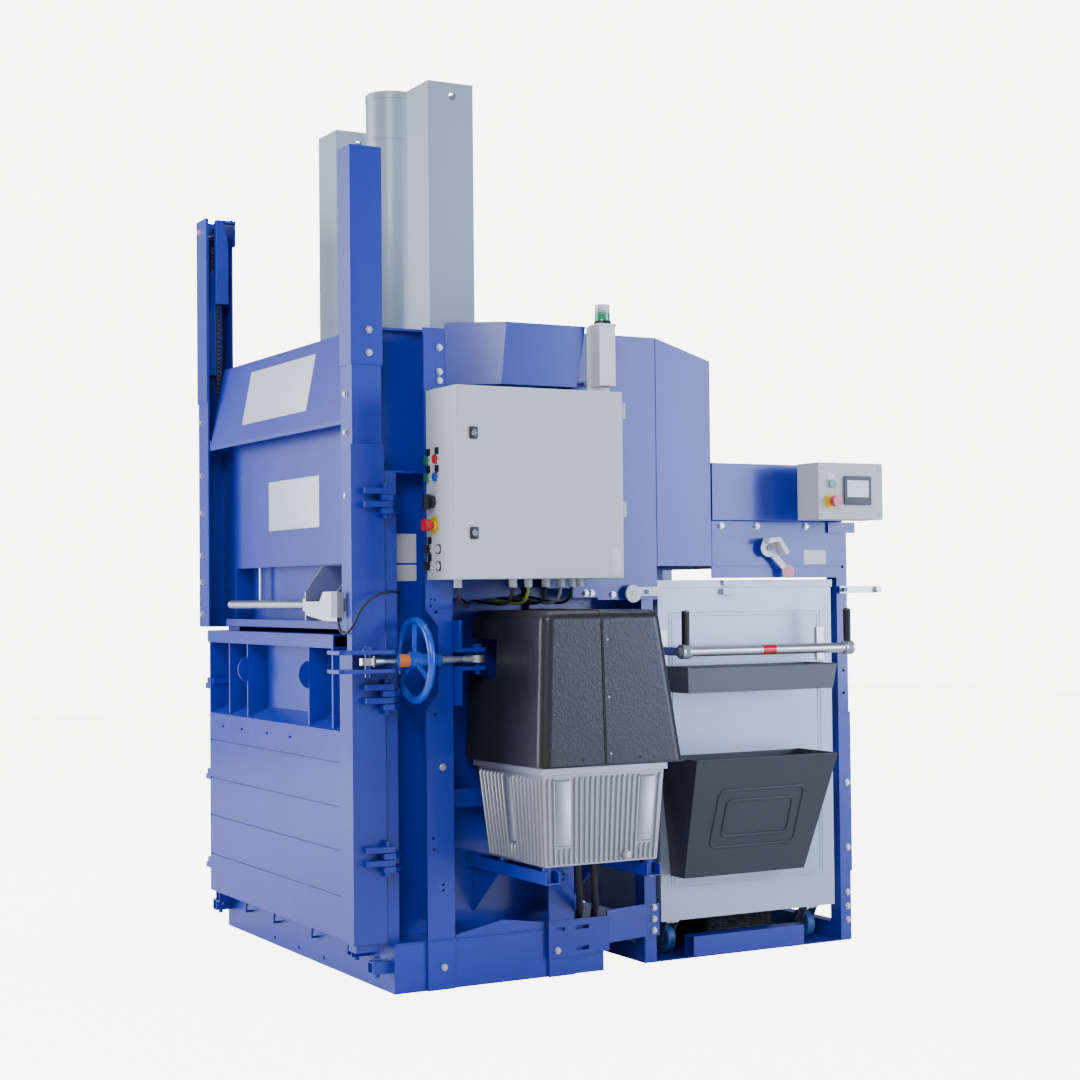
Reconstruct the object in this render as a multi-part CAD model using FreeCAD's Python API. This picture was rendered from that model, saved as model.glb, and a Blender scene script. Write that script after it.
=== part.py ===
import FreeCAD, Part
import math
import os

V = FreeCAD.Vector

# Vertical recycling baler with a cart loader. Sizes are in millimetres. Everything is laid out from
# the near ground corner of the press base: X along the loader side, Y across the bale door, Z up.
# Each part is moved as it is written, so that the frame's origin is on the floor under the ram.

# ---- driving sizes: press
BASE_X, BASE_Y, BASE_H = 756.0, 1514.0, 155.0
AXIS_X, AXIS_Y = 357.0, BASE_Y / 2          # the ram's axis
PRESS_TOP = 2100.0
WALL_IN, WALL_T = 130.0, 8.0                # chamber wall: outer face from the side, thickness
WALL_X1 = 740.0                             # rear end of the chamber walls
PLATE = 10.0
COL_X0, COL_X1 = 111.0, 206.0               # front upright
COL2_X0, COL2_X1 = 545.0, 640.0             # rear upright
NOTCH_Z0, NOTCH_Z1, NOTCH_X = 880.0, 1200.0, 155.0
PACK_BACK, SETBACK_Z0, SETBACK_Z1 = 104.0, 362.0, 1262.0   # room behind the power pack

# ---- driving sizes: bale door and lock
DOOR_Y0, DOOR_Y1 = 139.0, BASE_Y - 114.0
DOOR_Z0, DOOR_Z1, DOOR_CAP = 158.0, 1120.0, 815.0
DOOR_X0, DOOR_X1 = -110.0, -30.0
DOOR_HINGE_X, DOOR_HINGE_Y = -70.0, BASE_Y - 62.0
SEAMS = [295.0, 438.0, 576.0, 717.0]
SEAM_W, SEAM_D = 5.0, 4.0
RIBS = [236.0, 439.0, 1014.0, 1201.0]
POST_HINGE_X, POST_HINGE_Y = -14.0, 16.0
POST_TOP, POST_Z0 = 1720.0, 157.0
POST_X0 = -122.0
EAR_SETS = [380.0, 886.0, 1500.0]           # bottom of each set of hinge ears
EAR_T, EAR_GAP = 18.0, 3.0
PIN_R, RUN_FIT = 10.0, 0.05
TB_Y, TB_Z = -26.0, 1040.0                  # turnbuckle axis
TB_LOCK_X, TB_FIX_X = -95.0, 285.0          # its two eye pins
TB_ROD_R, TB_SLEEVE_R = 11.0, 20.0
SLEEVE_X0, SLEEVE_X1 = -4.0, 152.0
TB_OPEN = 1.6                               # extra radial clearance of the opened lock-side eye
WHEEL_X, WHEEL_R, WHEEL_TUBE = 65.0, 124.0, 12.5
LUG_GAP, LUG_T = 46.0, 12.0

# ---- driving sizes: lift door and guides
GUIDE_X0, GUIDE_X1 = -110.0, -9.0
GUIDE_N0, GUIDE_N1 = 50.0, 140.0
GUIDE_F0, GUIDE_F1 = BASE_Y - 110.0, BASE_Y - 4.0
GUIDE_Z0, GUIDE_Z1, COVER_Z0 = 1132.0, 2665.0, 1972.0
SHEET = 6.0
LIFT_X = -22.0                              # front face of the lift door panel
LIFT_Z0, LIFT_CREASE, LIFT_Z1 = 1136.0, 1352.0, 1850.0
HANDLE_Y0, HANDLE_Y1, HANDLE_Z, HANDLE_X, HANDLE_R = 490.0, BASE_Y - 252.0, 1215.0, -72.0, 15.0
CHAIN_Y0, CHAIN_Y1, CHAIN_X, SPROCKET_Z = BASE_Y - 96.0, BASE_Y - 32.0, -62.0, 2600.0
HOOD_Z0, HOOD_Z1, HOOD_X = 1790.0, 2095.0, -104.0

# ---- driving sizes: ram
RAM_TUBE, RAM_TUBE_T, RAM_TUBE_HALF = 168.0, 8.0, 394.0
RAM_TOP, PLATEN_Z0, PLATEN_Z1 = 2968.0, 1850.0, 1984.0
CYL_R, CYL_TOP, ROD_R = 92.0, 3028.0, 45.0
HEAD_Z0, HEAD_X0 = 1990.0, 78.0

# ---- driving sizes: cabinet
CAB_X0, CAB_X1, CAB_Z0, CAB_Z1 = 116.0, 716.0, 1292.0, 1890.0
CAB_Y0, CAB_Y1, CAB_T, CAB_DOOR_T = -206.0, -14.0, 3.0, 20.0
BUTTON_R, BEZEL_R, ESTOP_R, DISC_R = 10.0, 14.0, 19.0, 30.0
LOCKS = [1434.0, 1743.0]
CAB_HINGES = [CAB_Z0 + 196, CAB_Z1 - 86]
CAB_HINGE_X, CAB_HINGE_Y = CAB_X1 + 7, CAB_Y0 - CAB_DOOR_T / 2
LOCK_X = 174.0
PUSH = [("push_green_1", -29.0, 1667.0), ("push_red", -91.0, 1669.0),
        ("push_green_2", -29.0, 1613.0), ("push_blue", -91.0, 1613.0)]
SELECTORS = [("selector_1", -35.0, 1389.0), ("selector_2", -35.0, 1336.0)]
BLANKS = [(-100.0, 1387.0), (-100.0, 1334.0)]
ESTOP_Y, ESTOP_Z = -73.0, 1463.0
MAIN_Y, MAIN_Z = -63.0, 1536.0
GLANDS = [156.0, 350.0, 405.0, 468.0, 523.0, 563.0, 592.0]
GLAND_Y, GLAND_R, GLAND_L = -150.0, 13.0, 26.0

# ---- driving sizes: power pack
RAIL_Z0, RAIL_H, RAIL_W, RAIL_T = 365.0, 38.0, 50.0, 4.0
RAIL_XS = [340.0, 700.0]
RAIL_Y0 = -408.0
BUFFERS_Y = [-372.0, -90.0]
TANK_Z0, TANK_Z1 = 416.0, 697.0
COVER_BOT, COVER_TOP = 716.0, 1193.0
HOSE_R = 11.8

# ---- driving sizes: loader
LOADER_Y1 = 1290.0                          # depth of the loader housings and the dock
DOCK_X0, DOCK_X1 = 935.0, 1756.0
DOCK_POST, DOCK_TOP = 46.0, 1460.0
DOCK_Y0 = 30.0
CART_X0, CART_X1, CART_Y0, CART_Y1 = 1002.0, 1730.0, 32.0, 1230.0
CART_Z0, CART_Z1, CART_T = 132.0, 1286.0, 3.0
WHEEL_D, WHEEL_W, TRAY_T = 100.0, 32.0, 4.0
AXLE_Z = TRAY_T + WHEEL_D / 2              # the cart stands on the dock tray
CASTOR_XS, CASTOR_YS = [1091.0, 1682.0], [120.0, 1140.0]
CASTOR_TRAIL = 34.0
BAR_Z, BAR_Y, BAR_R = 1047.0, -120.0, 17.0
BAR_X0, BAR_X1 = 1003.0, 1690.0
BOX_X0, BOX_X1, BOX_Y0, BOX_Y1, BOX_Z0, BOX_Z1 = 1509.0, 1785.0, -200.0, -80.0, 1490.0, 1685.0
STOP_X, STOP_Z, STOP_LEN, STOP_ANGLE = 1419.0, 1395.0, 116.0, -45.0
ARM_Z, ARM_LEFT_X, ARM_LEFT_Y = 1248.0, 925.0, -14.0


def box(x0, x1, y0, y1, z0, z1):
    """A block between two corners."""
    return Part.makeBox(x1 - x0, y1 - y0, z1 - z0, V(x0, y0, z0))


def rod(radius, length, x, y, z, way=(0, 0, 1)):
    """A cylinder of the given radius and length from a point, along a direction."""
    return Part.makeCylinder(radius, length, V(x, y, z), V(*way))


def fuse(shapes):
    """One solid from overlapping pieces, with the seams between coplanar faces removed."""
    whole = shapes[0].fuse(shapes[1:]) if len(shapes) > 1 else shapes[0]
    return whole.removeSplitter()


def group(shapes):
    """Several separate solids kept as one part."""
    return Part.makeCompound([s for shape in shapes for s in shape.Solids])


def cut(shape, tools):
    """The shape with all the tools taken out of it."""
    return shape.cut(Part.makeCompound(tools))


def prism(points, along, start, length):
    """A polygon pushed along x, y or z; its points give the other two axes in order."""
    to3 = {"x": lambda a, b: V(start, a, b), "y": lambda a, b: V(a, start, b),
           "z": lambda a, b: V(a, b, start)}[along]
    way = {"x": V(length, 0, 0), "y": V(0, length, 0), "z": V(0, 0, length)}[along]
    corners = [to3(a, b) for a, b in points]
    return Part.Face(Part.makePolygon(corners + corners[:1])).extrude(way)


def tube_box(x0, x1, y0, y1, z0, z1, t, along):
    """A rectangular hollow section with open ends, its length along the named axis."""
    a, b, c = (0 if along == n else t for n in "xyz")
    return box(x0, x1, y0, y1, z0, z1).cut(box(x0 + a, x1 - a, y0 + b, y1 - b, z0 + c, z1 - c))


def frustum(lower, z0, upper, z1):
    """A block with flat sloping sides between two rectangles (x0, x1, y0, y1)."""
    def ring(r, z):
        p = [V(r[0], r[2], z), V(r[1], r[2], z), V(r[1], r[3], z), V(r[0], r[3], z)]
        return Part.makePolygon(p + p[:1])
    return Part.makeLoft([ring(lower, z0), ring(upper, z1)], True, True)


def across(y):
    """The mirror position of a Y coordinate, on the far side of the press."""
    return BASE_Y - y


def mirrored(shape):
    """The same shape on the far side of the press."""
    return shape.mirror(V(0, BASE_Y / 2, 0), V(0, 1, 0))


def cord(points, radius, name):
    """A tube along straight runs joined by tangent arcs; prints its tightest bend."""
    p = [V(*q) for q in points]
    edges, start, least = [], p[0], 1e9
    for a, b, c in zip(p, p[1:], p[2:]):
        u, w = (b - a).normalize(), (c - b).normalize()
        half = math.acos(max(-1.0, min(1.0, u.dot(w)))) / 2
        shorter = min((b - a).Length, (c - b).Length)
        r = 0.45 * shorter / math.tan(half)
        least = min(least, r)
        d = r * math.tan(half)
        first, last = b - u * d, b + w * d
        inward = (w - u).normalize()
        mid = b + inward * (r / math.cos(half) - r)
        edges += [Part.LineSegment(start, first).toShape(), Part.Arc(first, mid, last).toShape()]
        start = last
    edges.append(Part.LineSegment(start, p[-1]).toShape())
    wire = Part.Wire(edges)
    circle = Part.Wire(Part.Circle(p[0], p[1] - p[0], radius).toShape())
    tube = wire.makePipeShell([circle], True, True)
    want = math.pi * radius ** 2 * wire.Length
    print("cord", name, "length", round(wire.Length), "tightest bend", round(least, 1), "=",
          round(least / (2 * radius), 1), "diameters; volume ratio", round(tube.Volume / want, 4))
    return tube


def bolts(places, radius=9.0, head=7.0):
    """Hexagon bolt heads with washers standing on a face; each place is (x, y, z, direction)."""
    out = []
    for x, y, z, way in places:
        d = V(*way)
        hexagon = Part.makePolygon([V(radius * math.cos(math.radians(60 * k)),
                                      radius * math.sin(math.radians(60 * k)), 2) for k in range(7)])
        nut = Part.Face(hexagon).extrude(V(0, 0, head)).fuse(Part.makeCylinder(radius * 1.25, 2))
        nut.Placement = FreeCAD.Placement(V(x, y, z), FreeCAD.Rotation(V(0, 0, 1), d))
        out.append(nut)
    return out


# ---- press frame

def press_base():
    front = tube_box(0, 90, 0, BASE_Y, 0, BASE_H, 8, "y")
    back = tube_box(BASE_X - 90, BASE_X, 0, BASE_Y, 0, BASE_H, 8, "y")
    middle = tube_box(AXIS_X - 60, AXIS_X + 60, 80, BASE_Y - 80, 0, BASE_H, 8, "y")
    sides, gussets = [], []
    for y0 in (0, BASE_Y - 90):
        sides.append(tube_box(90, BASE_X - 90, y0, y0 + 90, 0, BASE_H, 8, "x"))
    hump = prism([(213, 148), (213, 166), (380, 200), (540, 178), (540, 148)], "y", 0, 12)
    skirt = box(0, BASE_X, 0, 6, 0, BASE_H)
    floor = box(0, WALL_X1, 60, BASE_Y - 60, BASE_H - 8, BASE_H)
    stubs, hooks = [], []
    for y, z in ((30, 62), (192, 92), (1441, 100), (1474, 66)):
        stubs.append(tube_box(-62, 4, y, y + 40, z, z + 40, 5, "x"))
        stubs.append(rod(8, 56, -38, y + 20, z - 12))
        stubs.append(bolts([(-38, y + 20, z + 39, (0, 0, 1))], 12, 10)[0])
        stubs.append(rod(12, 5, -38, y + 20, z + 38))
    for y in (626, 980, 1262):
        hooks.append(rod(4, 26, -22, y, 88, (1, 0, 0)))
        hooks.append(rod(4, 32, -22, y, 84))
        hooks.append(rod(4, 14, -22, y - 10, 116, (0, 1, 0)))
    shape = fuse([front, back, middle, floor, hump, mirrored(hump), skirt, mirrored(skirt)]
                 + sides + stubs + hooks)
    holes = [rod(7, 12, -2, y, 24, (1, 0, 0)) for y in (575, 800, 1030)]
    return cut(shape, holes)


def upright(x0, x1, notched):
    """A channel upright: a flat on the outside and two webs reaching in to the chamber wall.
    The front one is notched for the handwheel, the rear one set back behind the power pack."""
    flat = box(x0, x1, -PLATE, 0, 0, PRESS_TOP - 8)
    if notched:
        notch = [(x0 - 1, NOTCH_Z0), (NOTCH_X, NOTCH_Z0 + 55), (NOTCH_X, NOTCH_Z1 - 55),
                 (x0 - 1, NOTCH_Z1)]
        flat = flat.cut(prism(notch, "y", -PLATE - 1, PLATE + 2))
    webs = [box(x1 - PLATE, x1, -PLATE, WALL_IN, BASE_H + 46, PRESS_TOP - 8)]
    webs.append(box(x0 + 52, x0 + 60, -1, WALL_IN, BASE_H + 46, PRESS_TOP - 8))
    shape = fuse([flat] + webs)
    if not notched:
        shape = shape.cut(box(x0 - 1, x1 + 1, -PLATE - 1, PACK_BACK, SETBACK_Z0, SETBACK_Z1))
        shape = fuse([shape, box(x0, x1, PACK_BACK, PACK_BACK + PLATE, SETBACK_Z0 - 10, SETBACK_Z1 + 10)])
    middle = (x0 + x1) / 2 - 6
    holes = [rod(r, 14, middle + dx, -PLATE - 2, z, (0, 1, 0)) for r, dx, z in
             ((5, -20, 478), (5, -16, 442), (4, 14, 330), (4, 14, 312), (5, -10, 868),
              (4, -22, 1230), (4, -8, 1228), (4, -22, 1210), (6, -4, 1190))]
    return cut(shape, holes)


def uprights():
    near = [upright(COL_X0, COL_X1, True), upright(COL2_X0, COL2_X1, False)]
    return group(near + [mirrored(s) for s in near])


def chamber_shell():
    top = PRESS_TOP - 8
    wall = box(0, WALL_X1, WALL_IN, WALL_IN + WALL_T, BASE_H, top)
    hinge_post = tube_box(0, 40, 50, WALL_IN + 2, BASE_H, 1640, 6, "z")
    shelf = box(0, COL_X0 + 50, 50, WALL_IN + 2, 1632, 1640)
    stiff = [box(COL_X1 + 6, COL2_X0 - 6, WALL_IN - 60, WALL_IN + 2, z, z + 60) for z in (560, 1500)]
    rear = box(WALL_X1, WALL_X1 + WALL_T, WALL_IN, across(WALL_IN), BASE_H, 1290)
    head = box(WALL_X1, WALL_X1 + WALL_T, WALL_IN, across(WALL_IN), HEAD_Z0, top)
    near = [wall, hinge_post, shelf] + stiff
    ears = []
    for z in EAR_SETS:
        for k in (0, 2):
            z0 = z + k * (EAR_T + EAR_GAP)
            shape = prism([(-34, -4), (6, -4), (40, 30), (40, 56), (1, 56), (1, 32), (-20, 32), (-34, 20)],
                          "z", z0, EAR_T)
            shape = shape.cut(rod(PIN_R + RUN_FIT, EAR_T + 2, POST_HINGE_X, POST_HINGE_Y, z0 - 1))
            ears.append(shape)
    clevis = []
    for z0 in (TB_Z - LUG_GAP / 2 - LUG_T, TB_Z + LUG_GAP / 2):
        clevis.append(prism([(214, WALL_IN + 2), (214, -56), (298, -56), (312, -42), (312, -8),
                             (280, 40), (280, WALL_IN + 2)], "z", z0, LUG_T))
    stand = box(208, 218, -52, WALL_IN + 2, TB_Z - 145, TB_Z + 124)
    clevis.append(stand.cut(box(200, 220, -60, 12, TB_Z - 22, TB_Z + 22)))
    pin = rod(PIN_R, 2 * LUG_T + LUG_GAP + 26, TB_FIX_X, TB_Y, TB_Z - LUG_GAP / 2 - LUG_T - 14)
    nut = bolts([(TB_FIX_X, TB_Y, TB_Z + LUG_GAP / 2 + LUG_T, (0, 0, 1))], 15, 9)[0]
    hinge = []
    for z in (230, 560, 900):
        y = DOOR_HINGE_Y
        ear = prism([(-92, y - 22), (-48, y - 22), (-8, y + 28), (2, y + 28), (2, y + 48),
                     (-92, y + 48)], "z", z, 20)
        hinge.append(ear.cut(rod(PIN_R + RUN_FIT, 22, DOOR_HINGE_X, DOOR_HINGE_Y, z - 1)))
    far_post = tube_box(0, 40, across(WALL_IN + 2), across(14), BASE_H, 1640, 6, "z")
    far = [mirrored(wall), far_post] + [mirrored(s) for s in stiff]
    return fuse(near + far + [rear, head, crosshead()] + ears + clevis + [pin, nut] + hinge)


def crosshead():
    y0, y1 = WALL_IN + WALL_T, across(WALL_IN + WALL_T)
    whole = tube_box(HEAD_X0, WALL_X1, y0, y1, HEAD_Z0, PRESS_TOP - 8, 12, "y")
    cap = box(0, WALL_X1 + WALL_T, WALL_IN - 34, across(WALL_IN - 34), PRESS_TOP - 8, PRESS_TOP)
    webs = [box(HEAD_X0 + 4, WALL_X1 - 4, y, y + 10, HEAD_Z0 + 4, PRESS_TOP - 10)
            for y in (y0, AXIS_Y - 150, AXIS_Y + 140, y1 - 10)]
    shape = fuse([whole, cap] + webs)
    half = RAM_TUBE / 2 + 2
    holes = [box(AXIS_X - half, AXIS_X + half, y - half, y + half, HEAD_Z0 - 1, PRESS_TOP + 1)
             for y in (AXIS_Y - RAM_TUBE_HALF, AXIS_Y + RAM_TUBE_HALF)]
    holes.append(rod(ROD_R + 3, 140, AXIS_X, AXIS_Y, HEAD_Z0 - 5))
    return cut(shape, holes)


def header_hood():
    """A folded front sheet between the guides, open below so the lift door's handle can rise."""
    y0, y1 = GUIDE_N1 + 2, GUIDE_F0 - 8
    back = GUIDE_X1 - 24
    outer = prism([(HOOD_X + 56, HOOD_Z1), (HOOD_X, HOOD_Z0 + 14), (HOOD_X, HOOD_Z0),
                   (back, HOOD_Z0), (back, HOOD_Z1)], "y", y0, y1 - y0)
    inner = prism([(HOOD_X + 61, HOOD_Z1 + 1), (HOOD_X + 4, HOOD_Z0 + 15), (HOOD_X + 4, HOOD_Z0 - 1),
                   (back + 4, HOOD_Z0 - 1), (back + 4, HOOD_Z1 + 1)], "y", y0 + 4, y1 - y0 - 8)
    tabs = [box(HOOD_X, HOOD_X + 5, y, y + 26, HOOD_Z0, HOOD_Z0 + 38)
            for y in (GUIDE_N1 - 20, GUIDE_F0 - 10)]
    return fuse([outer.cut(inner)] + tabs)


def guide(y_in, y_out):
    """A channel, open toward the lift door, with a cover sleeve over its upper length."""
    lo, hi = min(y_in, y_out), max(y_in, y_out)
    web0, web1 = (lo, lo + SHEET) if y_out < y_in else (hi - SHEET, hi)
    front = box(GUIDE_X0, GUIDE_X0 + SHEET, lo, hi, GUIDE_Z0, GUIDE_Z1)
    back = box(GUIDE_X1 - SHEET, GUIDE_X1, lo, hi, GUIDE_Z0, GUIDE_Z1)
    web = box(GUIDE_X0, GUIDE_X1, web0, web1, GUIDE_Z0, GUIDE_Z1)
    d = 4.0
    side = (web0 - d, web0 + 1) if y_out < y_in else (web1 - 1, web1 + d)
    sleeve_side = box(GUIDE_X0 - d, GUIDE_X1 + d, side[0], side[1], COVER_Z0, GUIDE_Z1)
    sleeve_front = box(GUIDE_X0 - d, GUIDE_X0 + 1, min(side[0], lo), max(side[1], hi),
                       COVER_Z0, GUIDE_Z1)
    foot0 = web0 if y_out < y_in else hi - 36
    foot = box(GUIDE_X1 - 1, 0, foot0, foot0 + 36, GUIDE_Z0, 1632)
    rest = box(GUIDE_X0 + 1, GUIDE_X1 - 1, lo + 1, hi - 1, GUIDE_Z0, LIFT_Z0)
    return fuse([front, back, web, sleeve_side, sleeve_front, foot, rest])


def guide_near():
    return guide(GUIDE_N1, GUIDE_N0)


def guide_far():
    shape = guide(GUIDE_F0, GUIDE_F1)
    pin = rod(7, GUIDE_X1 - GUIDE_X0 - 4, GUIDE_X0 + 2, (CHAIN_Y0 + CHAIN_Y1) / 2, SPROCKET_Z, (1, 0, 0))
    guard = prism([(CHAIN_X - 22, 2340), (CHAIN_X + 24, 2340), (CHAIN_X + 24, 2560),
                   (CHAIN_X + 6, 2655), (CHAIN_X - 22, 2655)], "y", GUIDE_F0 - 32, 26)
    guard = guard.cut(box(CHAIN_X - 18, CHAIN_X + 20, GUIDE_F0 - 28, GUIDE_F0 - 4, 2330, 2640))
    arm = box(CHAIN_X - 22, CHAIN_X + 24, GUIDE_F0 - 10, GUIDE_F0 + 8, 2640, 2650)
    shape = fuse([shape, pin])
    return fuse([shape, guard, box(GUIDE_X1 - 6, GUIDE_X1, 1372, 1412, 2560, 2650),
                 box(CHAIN_X - 22, GUIDE_X1, GUIDE_F0 - 32, GUIDE_F0 - 6, 2645, 2655)])


def frame_bolts():
    places = []
    for z in (70, 700, 1925, 1953, 2030):
        places.append(((COL_X0 + COL_X1) / 2 + 8, -PLATE, z, (0, -1, 0)))
    for z in (2010, 2082):
        places.append((GUIDE_X0 + 58, GUIDE_N0 - 4, z, (0, -1, 0)))
    for z in (1760, 1880, 1560):
        places.append((GUIDE_X0, GUIDE_N0 + 44, z, (-1, 0, 0)))
    for z in (1180, 1300, 1400, 1560, 1700, 1900, 2620):
        places.append((GUIDE_X0 - (4 if z > COVER_Z0 else 0), GUIDE_F1 - 40, z, (-1, 0, 0)))
    for x in (1240, 1388, 1598):
        places.append((x, -3, 1472, (0, -1, 0)))
    for x, z in ((700, 1245), (722, 1245), (803, 1240)):
        places.append((x, -3, z, (0, -1, 0)))
    for z in (560, 330, 170, 120, 72):
        places.append((DOCK_X1 + 30, DOCK_Y0 - 4 if 240 < z < 800 else DOCK_Y0, z, (0, -1, 0)))
    for z in (186, 148, 110, 300):
        places.append((DOCK_X0 + 30, DOCK_Y0 - (10 if z < 200 else 0), z, (0, -1, 0)))
    places.append((572, -PLATE - 8, 85, (0, -1, 0)))
    return group(bolts(places))


# ---- ram

def ram_cylinder():
    barrel = rod(CYL_R, CYL_TOP - PRESS_TOP - 24, AXIS_X, AXIS_Y, PRESS_TOP)
    flange = rod(CYL_R + 34, 24, AXIS_X, AXIS_Y, PRESS_TOP)
    cap = rod(CYL_R + 2, 24, AXIS_X, AXIS_Y, CYL_TOP - 24)
    band = rod(CYL_R + 2, 10, AXIS_X, AXIS_Y, CYL_TOP - 170)
    ports = []
    for z in (2945, 2534):
        ports.append(rod(13, 26, AXIS_X + 60, AXIS_Y - CYL_R * 0.72, z, (0.64, -0.76, 0)))
    shape = fuse([barrel, flange, cap, band] + ports)
    shape = shape.cut(rod(ROD_R + 20, CYL_TOP - PRESS_TOP - 74, AXIS_X, AXIS_Y, PRESS_TOP + 50))
    return shape.cut(rod(ROD_R + RUN_FIT, 60, AXIS_X, AXIS_Y, PRESS_TOP - 1))


def ram_platen():
    y0, y1 = WALL_IN + WALL_T + 6, across(WALL_IN + WALL_T + 6)
    plate = box(80, WALL_X1 - 8, y0, y1, PLATEN_Z0, PLATEN_Z0 + 20)
    ribs = [box(80, WALL_X1 - 8, y, y + 12, PLATEN_Z0 + 18, PLATEN_Z1)
            for y in (y0, 240, AXIS_Y - 70, AXIS_Y + 58, across(252), y1 - 12)]
    long_ribs = [box(x, x + 12, y0, y1, PLATEN_Z0 + 18, PLATEN_Z1)
                 for x in (80, AXIS_X - 100, AXIS_X + 88, WALL_X1 - 20)]
    return fuse([plate] + ribs + long_ribs)


def ram_guides():
    """Two square guide tubes standing on the platen, and the cylinder's rod between them."""
    half = RAM_TUBE / 2
    parts = []
    for s in (-1, 1):
        y = AXIS_Y + s * RAM_TUBE_HALF
        tube = tube_box(AXIS_X - half, AXIS_X + half, y - half, y + half, PLATEN_Z0 + 20,
                        RAM_TOP, RAM_TUBE_T, "z")
        hole = rod(13, RAM_TUBE + 4, AXIS_X + 6, y - half - 2, RAM_TOP - 46, (0, 1, 0))
        parts.append(tube.cut(hole))
    stem = rod(ROD_R, 2960 - PLATEN_Z0 - 20, AXIS_X, AXIS_Y, PLATEN_Z0 + 20)
    return group(parts + [stem])


# ---- bale door, lock post and turnbuckle

def bale_door():
    front = box(DOOR_X0, DOOR_X0 + 12, DOOR_Y0, DOOR_Y1, DOOR_Z0, DOOR_CAP)
    seams = [box(DOOR_X0 - 1, DOOR_X0 + SEAM_D, DOOR_Y0 - 1, DOOR_Y1 + 1, z - SEAM_W / 2,
                 z + SEAM_W / 2) for z in SEAMS]
    seams += [box(DOOR_X0 - 1, DOOR_X0 + 8, y - 9, y + 9, 768, 775) for y in (593, 808, 1057, 1256)]
    front = cut(front, seams)
    back = box(DOOR_X1 - 8, DOOR_X1, DOOR_Y0, DOOR_Y1, DOOR_Z0, DOOR_Z1)
    cap = prism([(DOOR_X0, DOOR_CAP - 12), (DOOR_X0, DOOR_CAP), (DOOR_X1, DOOR_CAP + 42),
                 (DOOR_X1, DOOR_CAP + 30)], "y", DOOR_Y0, DOOR_Y1 - DOOR_Y0)
    ends = [box(DOOR_X0, DOOR_X1, y, y + 8, DOOR_Z0, DOOR_CAP - 2) for y in (DOOR_Y0, DOOR_Y1 - 8)]
    foot = box(DOOR_X0, DOOR_X1, DOOR_Y0, DOOR_Y1, DOOR_Z0, DOOR_Z0 + 8)
    ribs = []
    for y in RIBS:
        x0 = DOOR_X0 + 6
        flat = [(x0, DOOR_CAP + 4), (DOOR_X1, DOOR_CAP + 40), (DOOR_X1, 1080), (x0, 1080)]
        ribs.append(prism(flat, "y", y - 6, 12))
    for y in RIBS[1:3]:
        ribs.append(rod(48, 8, DOOR_X0 + 22, y + 6, 985, (0, 1, 0)).cut(
            box(DOOR_X0 + 30, 40, y, y + 20, 900, 1100)))
    beam = tube_box(DOOR_X0, DOOR_X1, 215, DOOR_Y1 + 21, 1076, DOOR_Z1, 5, "y")
    end_post = box(DOOR_X0, DOOR_X1, DOOR_Y1 - 12, DOOR_Y1, DOOR_CAP, 1080)
    knuckles = []
    for z in (252, 582, 922):
        leaf = prism([(DOOR_X1 - 20, DOOR_Y1 - 30), (DOOR_X1, DOOR_Y1 - 30), (DOOR_X1 - 14, DOOR_HINGE_Y + 18),
                      (DOOR_X0 + 14, DOOR_HINGE_Y + 18), (DOOR_X0 + 4, DOOR_Y1 - 30)], "z", z, 20)
        knuckles += [leaf, rod(PIN_R, 44, DOOR_HINGE_X, DOOR_HINGE_Y, z - 24)]
    return fuse([front, back, cap, foot, beam, end_post] + ends + ribs + knuckles)


def lock_post():
    side = box(POST_X0, -8, 34, 44, POST_Z0, POST_TOP)
    lip = box(POST_X0, POST_X0 + 10, 34, 72, POST_Z0, POST_TOP)
    strip = box(POST_X0, POST_X0 + 10, 34, 134, POST_Z0, 1060)
    ribs = [box(POST_X0 + 2, -24, 40, 118, z, z + 10) for z in (165, 500, 830)]
    inner = box(POST_X0 + 8, -24, 110, 120, POST_Z0, 1060)
    foot = box(POST_X0 + 14, -30, 50, 110, 130, POST_Z0 + 10)
    ears = []
    for z in EAR_SETS:
        for k in (1, 3):
            z0 = z + k * (EAR_T + EAR_GAP)
            ears.append(prism([(-92, 36), (-86, 6), (-34, -4), (4, -4), (6, 10), (2, 30), (-20, 36)],
                              "z", z0, EAR_T))
        ears.append(rod(PIN_R, 4 * (EAR_T + EAR_GAP) + 26, POST_HINGE_X, POST_HINGE_Y, z - 14))
    lugs = []
    for z0 in (TB_Z - LUG_GAP / 2 - LUG_T, TB_Z + LUG_GAP / 2):
        lugs.append(prism([(-204, 40), (-204, -56), (-190, -66), (-20, -66), (-2, -48), (-2, 36)],
                          "z", z0, LUG_T))
    pin = rod(PIN_R, 2 * LUG_T + LUG_GAP + 26, TB_LOCK_X, TB_Y, TB_Z - LUG_GAP / 2 - LUG_T - 14)
    nut = bolts([(TB_LOCK_X, TB_Y, TB_Z + LUG_GAP / 2 + LUG_T, (0, 0, 1))], 15, 9)[0]
    return fuse([side, lip, strip, inner, foot, pin, nut] + ribs + ears + lugs)


def eye(x, bore, way, end):
    """An eye ring on a rod: ring round a vertical pin, rod along X up to the given end."""
    ring = rod(27, 22, x, TB_Y, TB_Z - 11)
    neck = Part.makeCone(17, TB_ROD_R + 2, 34, V(x + way * 20, TB_Y, TB_Z), V(way, 0, 0))
    stem = rod(TB_ROD_R, abs(end - x) - 20, min(x + way * 20, end), TB_Y, TB_Z, (1, 0, 0))
    return fuse([ring, neck, stem]).cut(rod(bore, 40, x, TB_Y, TB_Z - 20))


def turnbuckle_end():
    return eye(TB_FIX_X, PIN_R + RUN_FIT, -1, 104.0)


def turnbuckle_rod():
    return eye(TB_LOCK_X, PIN_R + TB_OPEN, 1, 70.0)


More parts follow.
